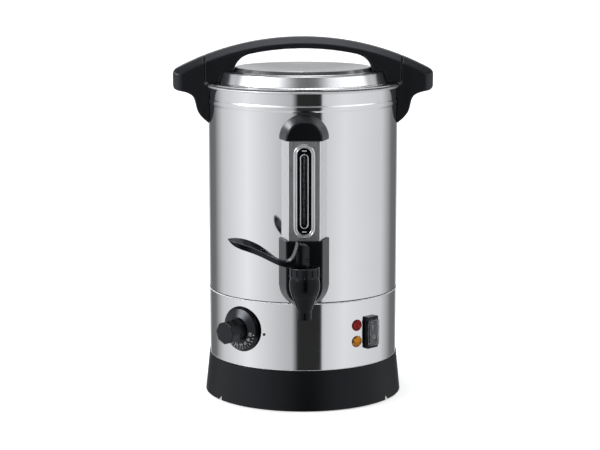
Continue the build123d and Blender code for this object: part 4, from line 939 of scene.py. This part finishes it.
def mark_on_points_tree():
    """A flat mark on each point."""
    tree, add, link, given = start_tree("marks_on_points", {"Mark": "Vector"})
    mark = add("GeometryNodeMeshCube")
    link(given["Mark"], mark.inputs["Size"])
    marks = copies_on(add, link, given["Points"], mark.outputs["Mesh"])
    return end_tree(tree, marks.outputs[0], given)


def mark_ring_tree():
    """Marks along an arc, each in line with its radius and leaning with a cone."""
    sizes = {
        "Count": "Int",
        "Radius": "Float",
        "Sweep": "Float",
        "Lean": "Vector",
        "Mark": "Vector",
    }
    tree, add, link, given = start_tree("mark_ring", sizes)
    arc = add("GeometryNodeCurveArc")
    link(given["Count"], arc.inputs["Resolution"])
    link(given["Radius"], arc.inputs["Radius"])
    link(given["Sweep"], arc.inputs["Sweep Angle"])
    points = add("GeometryNodeCurveToPoints")
    points.mode = "EVALUATED"
    link(arc.outputs["Curve"], points.inputs["Curve"])
    mark = add("GeometryNodeMeshCube")
    link(given["Mark"], mark.inputs["Size"])
    leaning = add("GeometryNodeTransform")
    link(mark.outputs["Mesh"], leaning.inputs["Geometry"])
    link(given["Lean"], leaning.inputs["Rotation"])
    place = add("GeometryNodeInputPosition")
    outward = add("FunctionNodeAlignRotationToVector")
    outward.axis = "X"
    outward.pivot_axis = "Z"
    link(place.outputs[0], outward.inputs["Vector"])
    ring = copies_on(add, link, points.outputs["Points"], leaning.outputs[0])
    link(outward.outputs[0], ring.inputs["Rotation"])
    return end_tree(tree, ring.outputs[0], given)


def cross_screw_tree():
    """Screws whose heads face down, with a cross recess, on points at the seat of each head."""
    sizes = {
        "Head": "Float",
        "Head Height": "Float",
        "Shank": "Float",
        "Shank Length": "Float",
        "Recess": "Vector",
    }
    tree, add, link, given = start_tree("cross_screws", sizes)
    parts = []
    for radius, length, side in (("Head", "Head Height", -0.5), ("Shank", "Shank Length", 0.5)):
        rod = add("GeometryNodeMeshCylinder")
        rod.inputs["Vertices"].default_value = screw_sides
        link(given[radius], rod.inputs["Radius"])
        link(given[length], rod.inputs["Depth"])
        lift = add("ShaderNodeCombineXYZ")
        link(times(add, link, given[length], side), lift.inputs["Z"])
        placed = add("GeometryNodeTransform")
        link(rod.outputs["Mesh"], placed.inputs["Geometry"])
        link(lift.outputs[0], placed.inputs["Translation"])
        parts.append(placed.outputs[0])
    low = add("ShaderNodeCombineXYZ")
    link(times(add, link, given["Head Height"], -1), low.inputs["Z"])
    cut = add("GeometryNodeMeshBoolean")
    cut.operation = "DIFFERENCE"
    link(parts[0], cut.inputs["Mesh 1"])
    for turn in (0, pi / 2):
        slot = add("GeometryNodeMeshCube")
        link(given["Recess"], slot.inputs["Size"])
        placed = add("GeometryNodeTransform")
        placed.inputs["Rotation"].default_value = (0, 0, turn)
        link(slot.outputs["Mesh"], placed.inputs["Geometry"])
        link(low.outputs[0], placed.inputs["Translation"])
        link(placed.outputs[0], cut.inputs["Mesh 2"])
    screw = add("GeometryNodeJoinGeometry")
    link(cut.outputs["Mesh"], screw.inputs[0])
    link(parts[1], screw.inputs[0])
    screws = copies_on(add, link, given["Points"], screw.outputs[0])
    return end_tree(tree, screws.outputs[0], given)


# Pieces

slot_bead = slot_bead_tree()
ring_bead = ring_bead_tree()
slot_plate = slot_plate_tree()
marks_on_points = mark_on_points_tree()
dots_on_points = dot_on_points_tree()
rib_on_points = rib_tree()
mark_ring = mark_ring_tree()
cross_screws = cross_screw_tree()


def bead_round(finish, width, height, bead, corner):
    """A bead round a slot or plate of this size."""
    return grow(slot_bead, finish, Width=width, Height=height, Corner=corner, Bead=bead, Sides=bead_sides)


def upright(centre_height, front):
    """Frame of a flat front piece of the gauge: X to the right, Y up and Z towards the viewer."""
    return facing(0, centre_height, -front)


def make_gauge():
    """Twin beads on the bezel, a bead round the slot, and the level scale behind the tube."""
    low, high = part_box("gauge_bezel")
    width = high.x - low.x
    height = high.z - low.z
    middle = (low.z + high.z) / 2
    beads = []
    for inset, bead in ((outer_bead, outer_bead), (bezel_face - inner_bead, inner_bead)):
        bead_width = width - 2 * inset
        corner = round_end_share * bead_width
        beads.append(bead_round(chrome, bead_width, height - 2 * inset, bead, corner))
    beads = join(beads)
    beads.transform(upright(middle, low.y + bead_sink))
    fit("bezel_beads", beads, "boiler", slot_of_node["gauge_bezel"])

    low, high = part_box("gauge_slot_trim")
    trim_width = high.x - low.x - 2 * trim_inset
    trim_height = high.z - low.z - 2 * trim_inset
    trim = bead_round(satin_silver, trim_width, trim_height, trim_bead, round_end_share * trim_width)
    trim.transform(upright((low.z + high.z) / 2, low.y + trim_sink))
    fit("slot_bead", trim, "boiler", slot_of_node["gauge_slot_trim"])

    wall = -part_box("lower_band")[0].y
    scale_height = high.z - low.z
    scale = grow(slot_plate, scale_grey, Width=scale_width, Height=scale_height, Thickness=scale_thickness)
    scale.transform(facing(0, middle, wall))
    fit("level_scale", scale, "boiler", slot_of_node["gauge_panel"])
    rows = [(0, (index - (level_marks - 1) / 2) * level_pitch, 0) for index in range(level_marks)]
    marks = grow(marks_on_points, dark_print, points=rows, Mark=level_mark)
    marks.transform(facing(0, middle, wall + scale_thickness))
    fit("level_marks", marks, "boiler", slot_of_node["gauge_panel"])

    panel_low, panel_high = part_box("gauge_panel")
    # The limit marks are halfway between the ends of the scale and those of the panel
    reach = (panel_high.z - panel_low.z + scale_height) / 4
    ends = grow(marks_on_points, pale_print, points=[(0, reach, 0), (0, -reach, 0)], Mark=limit_mark)
    ends.transform(upright(middle, panel_low.y))
    fit("limit_marks", ends, "boiler", slot_of_node["gauge_panel"])


def make_ring(name, ring, finish, body, slot, sides=bead_sides):
    """A bead round the pot: a rolled edge, or a dark bead that is painted shade for the gap where two
    sheets meet.
    """
    radius, height, bead = ring
    mesh = grow(ring_bead, finish, Radius=radius, Bead=bead, Sides=sides)
    mesh.transform(Matrix.Translation((0, 0, height)))
    fit(name, mesh, body, slot)


def make_dial_print():
    """Numbers and ticks on the sloping face of the dial."""
    face = facing(dial_angle, dial_height, dial_back)
    slope = atan(dial_cone / (dial_face_radius - grip_root_radius))

    def cone_height(radius):
        share = (dial_face_radius - radius) / (dial_face_radius - grip_root_radius)
        return dial_edge + share * dial_cone

    numbers = []
    for index in range(number_count):
        label = str(first_number + index * number_step)
        number = lettering(label, number_size, print_depth, pale_print)
        turn = Matrix.Rotation(-number_start - index * number_turn - pi / 2, 4, "Z")
        out = Matrix.Translation((0, number_radius, cone_height(number_radius)))
        number.transform(face @ turn @ out @ Matrix.Rotation(-slope, 4, "X"))
        numbers.append(number)
    fit("dial_numbers", join(numbers), "thermostat_dial", slot_of_node["thermostat_knob"])

    ticks = grow(
        mark_ring,
        pale_print,
        Count=(number_count - 1) * ticks_per_number + 1,
        Radius=tick_radius,
        Sweep=-(number_count - 1) * number_turn,
        Lean=(0, slope, 0),
        Mark=tick_mark,
    )
    first = Matrix.Rotation(-number_start, 4, "Z")
    ticks.transform(face @ first @ Matrix.Translation((0, 0, cone_height(tick_radius))))
    fit("dial_ticks", ticks, "thermostat_dial", slot_of_node["thermostat_knob"])


def make_lamp(node, finish):
    """A cut lens: a low stack of many-sided rings whose skin is its facets."""
    low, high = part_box(node)
    shape = bmesh.new()
    for height, radius, sides, turn in lens_rings:
        for index in range(sides):
            angle = 2 * pi * (index + turn) / sides
            shape.verts.new((radius * cos(angle), radius * sin(angle), height))
    bmesh.ops.convex_hull(shape, input=shape.verts)
    bmesh.ops.recalc_face_normals(shape, faces=shape.faces)
    mesh = bpy.data.meshes.new(node)
    shape.to_mesh(mesh)
    shape.free()
    mesh.materials.append(finish)
    wall = -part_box("lower_band")[0].y
    seat = facing(lamp_angle, (low.z + high.z) / 2, wall + seat_play)
    mesh.transform(seat)
    fit("cut_" + node, mesh, body_of_node[node], slot_of_node[node], node)
    rim = grow(ring_bead, tap_black, Radius=lens_rim_radius, Bead=lens_rim_bead, Sides=lens_rim_sides)
    rim.transform(seat)
    fit("rim_of_" + node, rim, body_of_node[node], slot_of_node[node])


def make_tap_details():
    """Dots at the feet of the bonnet's flutes, the rim of its top, and the rib of the lever."""
    low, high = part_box("tap_bonnet")
    feet = []
    for index in range(flute_count):
        turn = 2 * pi * index / flute_count
        feet.append((bonnet_radius * cos(turn), bonnet_radius * sin(turn), flute_dot_rise))
    dots = grow(dots_on_points, edge_black, points=feet, Dot=flute_dot)
    dots.transform(Matrix.Translation((0, -tap_reach, low.z)))
    fit("bonnet_dots", dots, body_of_node["tap_bonnet"], slot_of_node["tap_bonnet"])
    rim_radius = bonnet_radius - bonnet_bead
    rim = grow(ring_bead, edge_black, Radius=rim_radius, Bead=bonnet_bead, Sides=bead_sides)
    rim.transform(Matrix.Translation((0, -tap_reach, high.z - bonnet_bead)))
    fit("bonnet_rim", rim, body_of_node["tap_bonnet"], slot_of_node["tap_bonnet"])

    foot, out, near = lever_frame()
    line = []
    for reach, rise, half in rib_line:
        line.append(foot + reach * out + (half - rib_bead) * near + Vector((0, 0, rise)))
    # The rib's light grey is a painted highlight, not the lever's own colour
    rib = grow(rib_on_points, painted_highlight_rib, points=line, Bead=rib_bead, Sides=rib_sides)
    fit("lever_rib", rib, "tap_lever", slot_of_node["tap_lever"])


def make_switch_details():
    """The rim of the splash cover, and the rocker's marks: a bar for on and a ring for off."""
    # The rim is a moulded bead whose pale tone is partly a painted highlight
    rim_width = cover_width - 2 * cover_bead
    rim = bead_round(cover_rim_and_highlight, rim_width, cover_length - 2 * cover_bead, cover_bead, cover_corner)
    rim.transform(facing(switch_angle, switch_height, cover_seat))
    fit("cover_rim_and_highlight", rim, "boiler", slot_of_node["switch_splash_cover"])
    face = facing(switch_angle, switch_height, rocker_pivot_radius)
    face = face @ Matrix.Rotation(-radians(rocker_lean), 4, "X") @ Matrix.Translation((0, 0, rocker_rise))
    marks = []
    for words, side in (("I", 1), ("O", -1)):
        mark = lettering(words, rocker_mark_size, print_depth, pale_print)
        mark.transform(face @ Matrix.Translation((0, side * rocker_mark_reach, 0)))
        marks.append(mark)
    fit("rocker_marks", join(marks), "switch_rocker", slot_of_node["switch_rocker"])


def make_screws(node, head_radius, head_height, shank_radius, places):
    """Cross-head screws in the place of plain ones."""
    low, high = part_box(node)
    seat = low.z + head_height
    points = [(x, y, seat) for x, y in places]
    recess_length, recess_width, recess_depth = recess_shares
    screws = grow(
        cross_screws,
        zinc,
        points=points,
        **{
            "Head": head_radius,
            "Head Height": head_height,
            "Shank": shank_radius,
            "Shank Length": high.z - seat,
            "Recess": (
                recess_length * head_radius,
                recess_width * head_radius,
                recess_depth * head_height,
            ),
        },
    )
    fit("cross_" + node, screws, body_of_node[node], slot_of_node[node], node)


def make_all_screws():
    """The screws under the bottom plate and those that hold the lid's handle."""
    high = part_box("bottom_screws")[1]
    reach = high.x - plate_screw_head_radius
    corners = [(x * reach, y * reach) for x in (-1, 1) for y in (-1, 1)]
    make_screws("bottom_screws", plate_screw_head_radius, plate_screw_head, plate_screw_radius, corners)
    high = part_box("lid_handle_screws")[1]
    reach = high.x - lid_screw_head_radius
    spread_y = high.y - lid_screw_head_radius
    corners = [(x * reach, y * spread_y) for x in (-1, 1) for y in (-1, 1)]
    make_screws("lid_handle_screws", lid_screw_head_radius, lid_screw_head, lid_screw_radius, corners)


look_from_photo()
light_room()
hang_soft_lamp()
lay_floor()
dress_nodes()
for node, grain, passes, finish in soft_edges:
    soften(node, grain, passes, finish)
make_gauge()
make_ring("lid_edge", lid_edge_ring, satin_silver, "lid", slot_of_node["lid"])
make_ring("rim_roll", rim_roll_ring, satin_silver, "boiler", slot_of_node["pot"])
# Painted shade: a dark rubber bead where the seam between pot and band is only a shadowed gap
make_ring("seam_painted_shade", seam_shade_ring, rubber_black, "boiler", slot_of_node["lid_gasket"])
# The seam's edge bead is real geometry; its near-white steel is a painted highlight line
make_ring("seam_edge", seam_edge_ring, painted_highlight_steel, "boiler", slot_of_node["pot"], seam_edge_sides)
make_ring("foot_edge", foot_edge_ring, satin_silver, "boiler", slot_of_node["pot"])
# Painted shade: a dark bead in the gap between the lower band and the skirt
make_ring("foot_painted_shade", foot_shade_ring, tap_black, "boiler", slot_of_node["base_skirt"])
make_dial_print()
make_lamp("red_lamp_lens", red_lens)
make_lamp("amber_lamp_lens", amber_lens)
make_tap_details()
make_return_spring()
make_switch_details()
make_all_screws()

bpy.context.scene.view_settings.view_transform = "Standard"
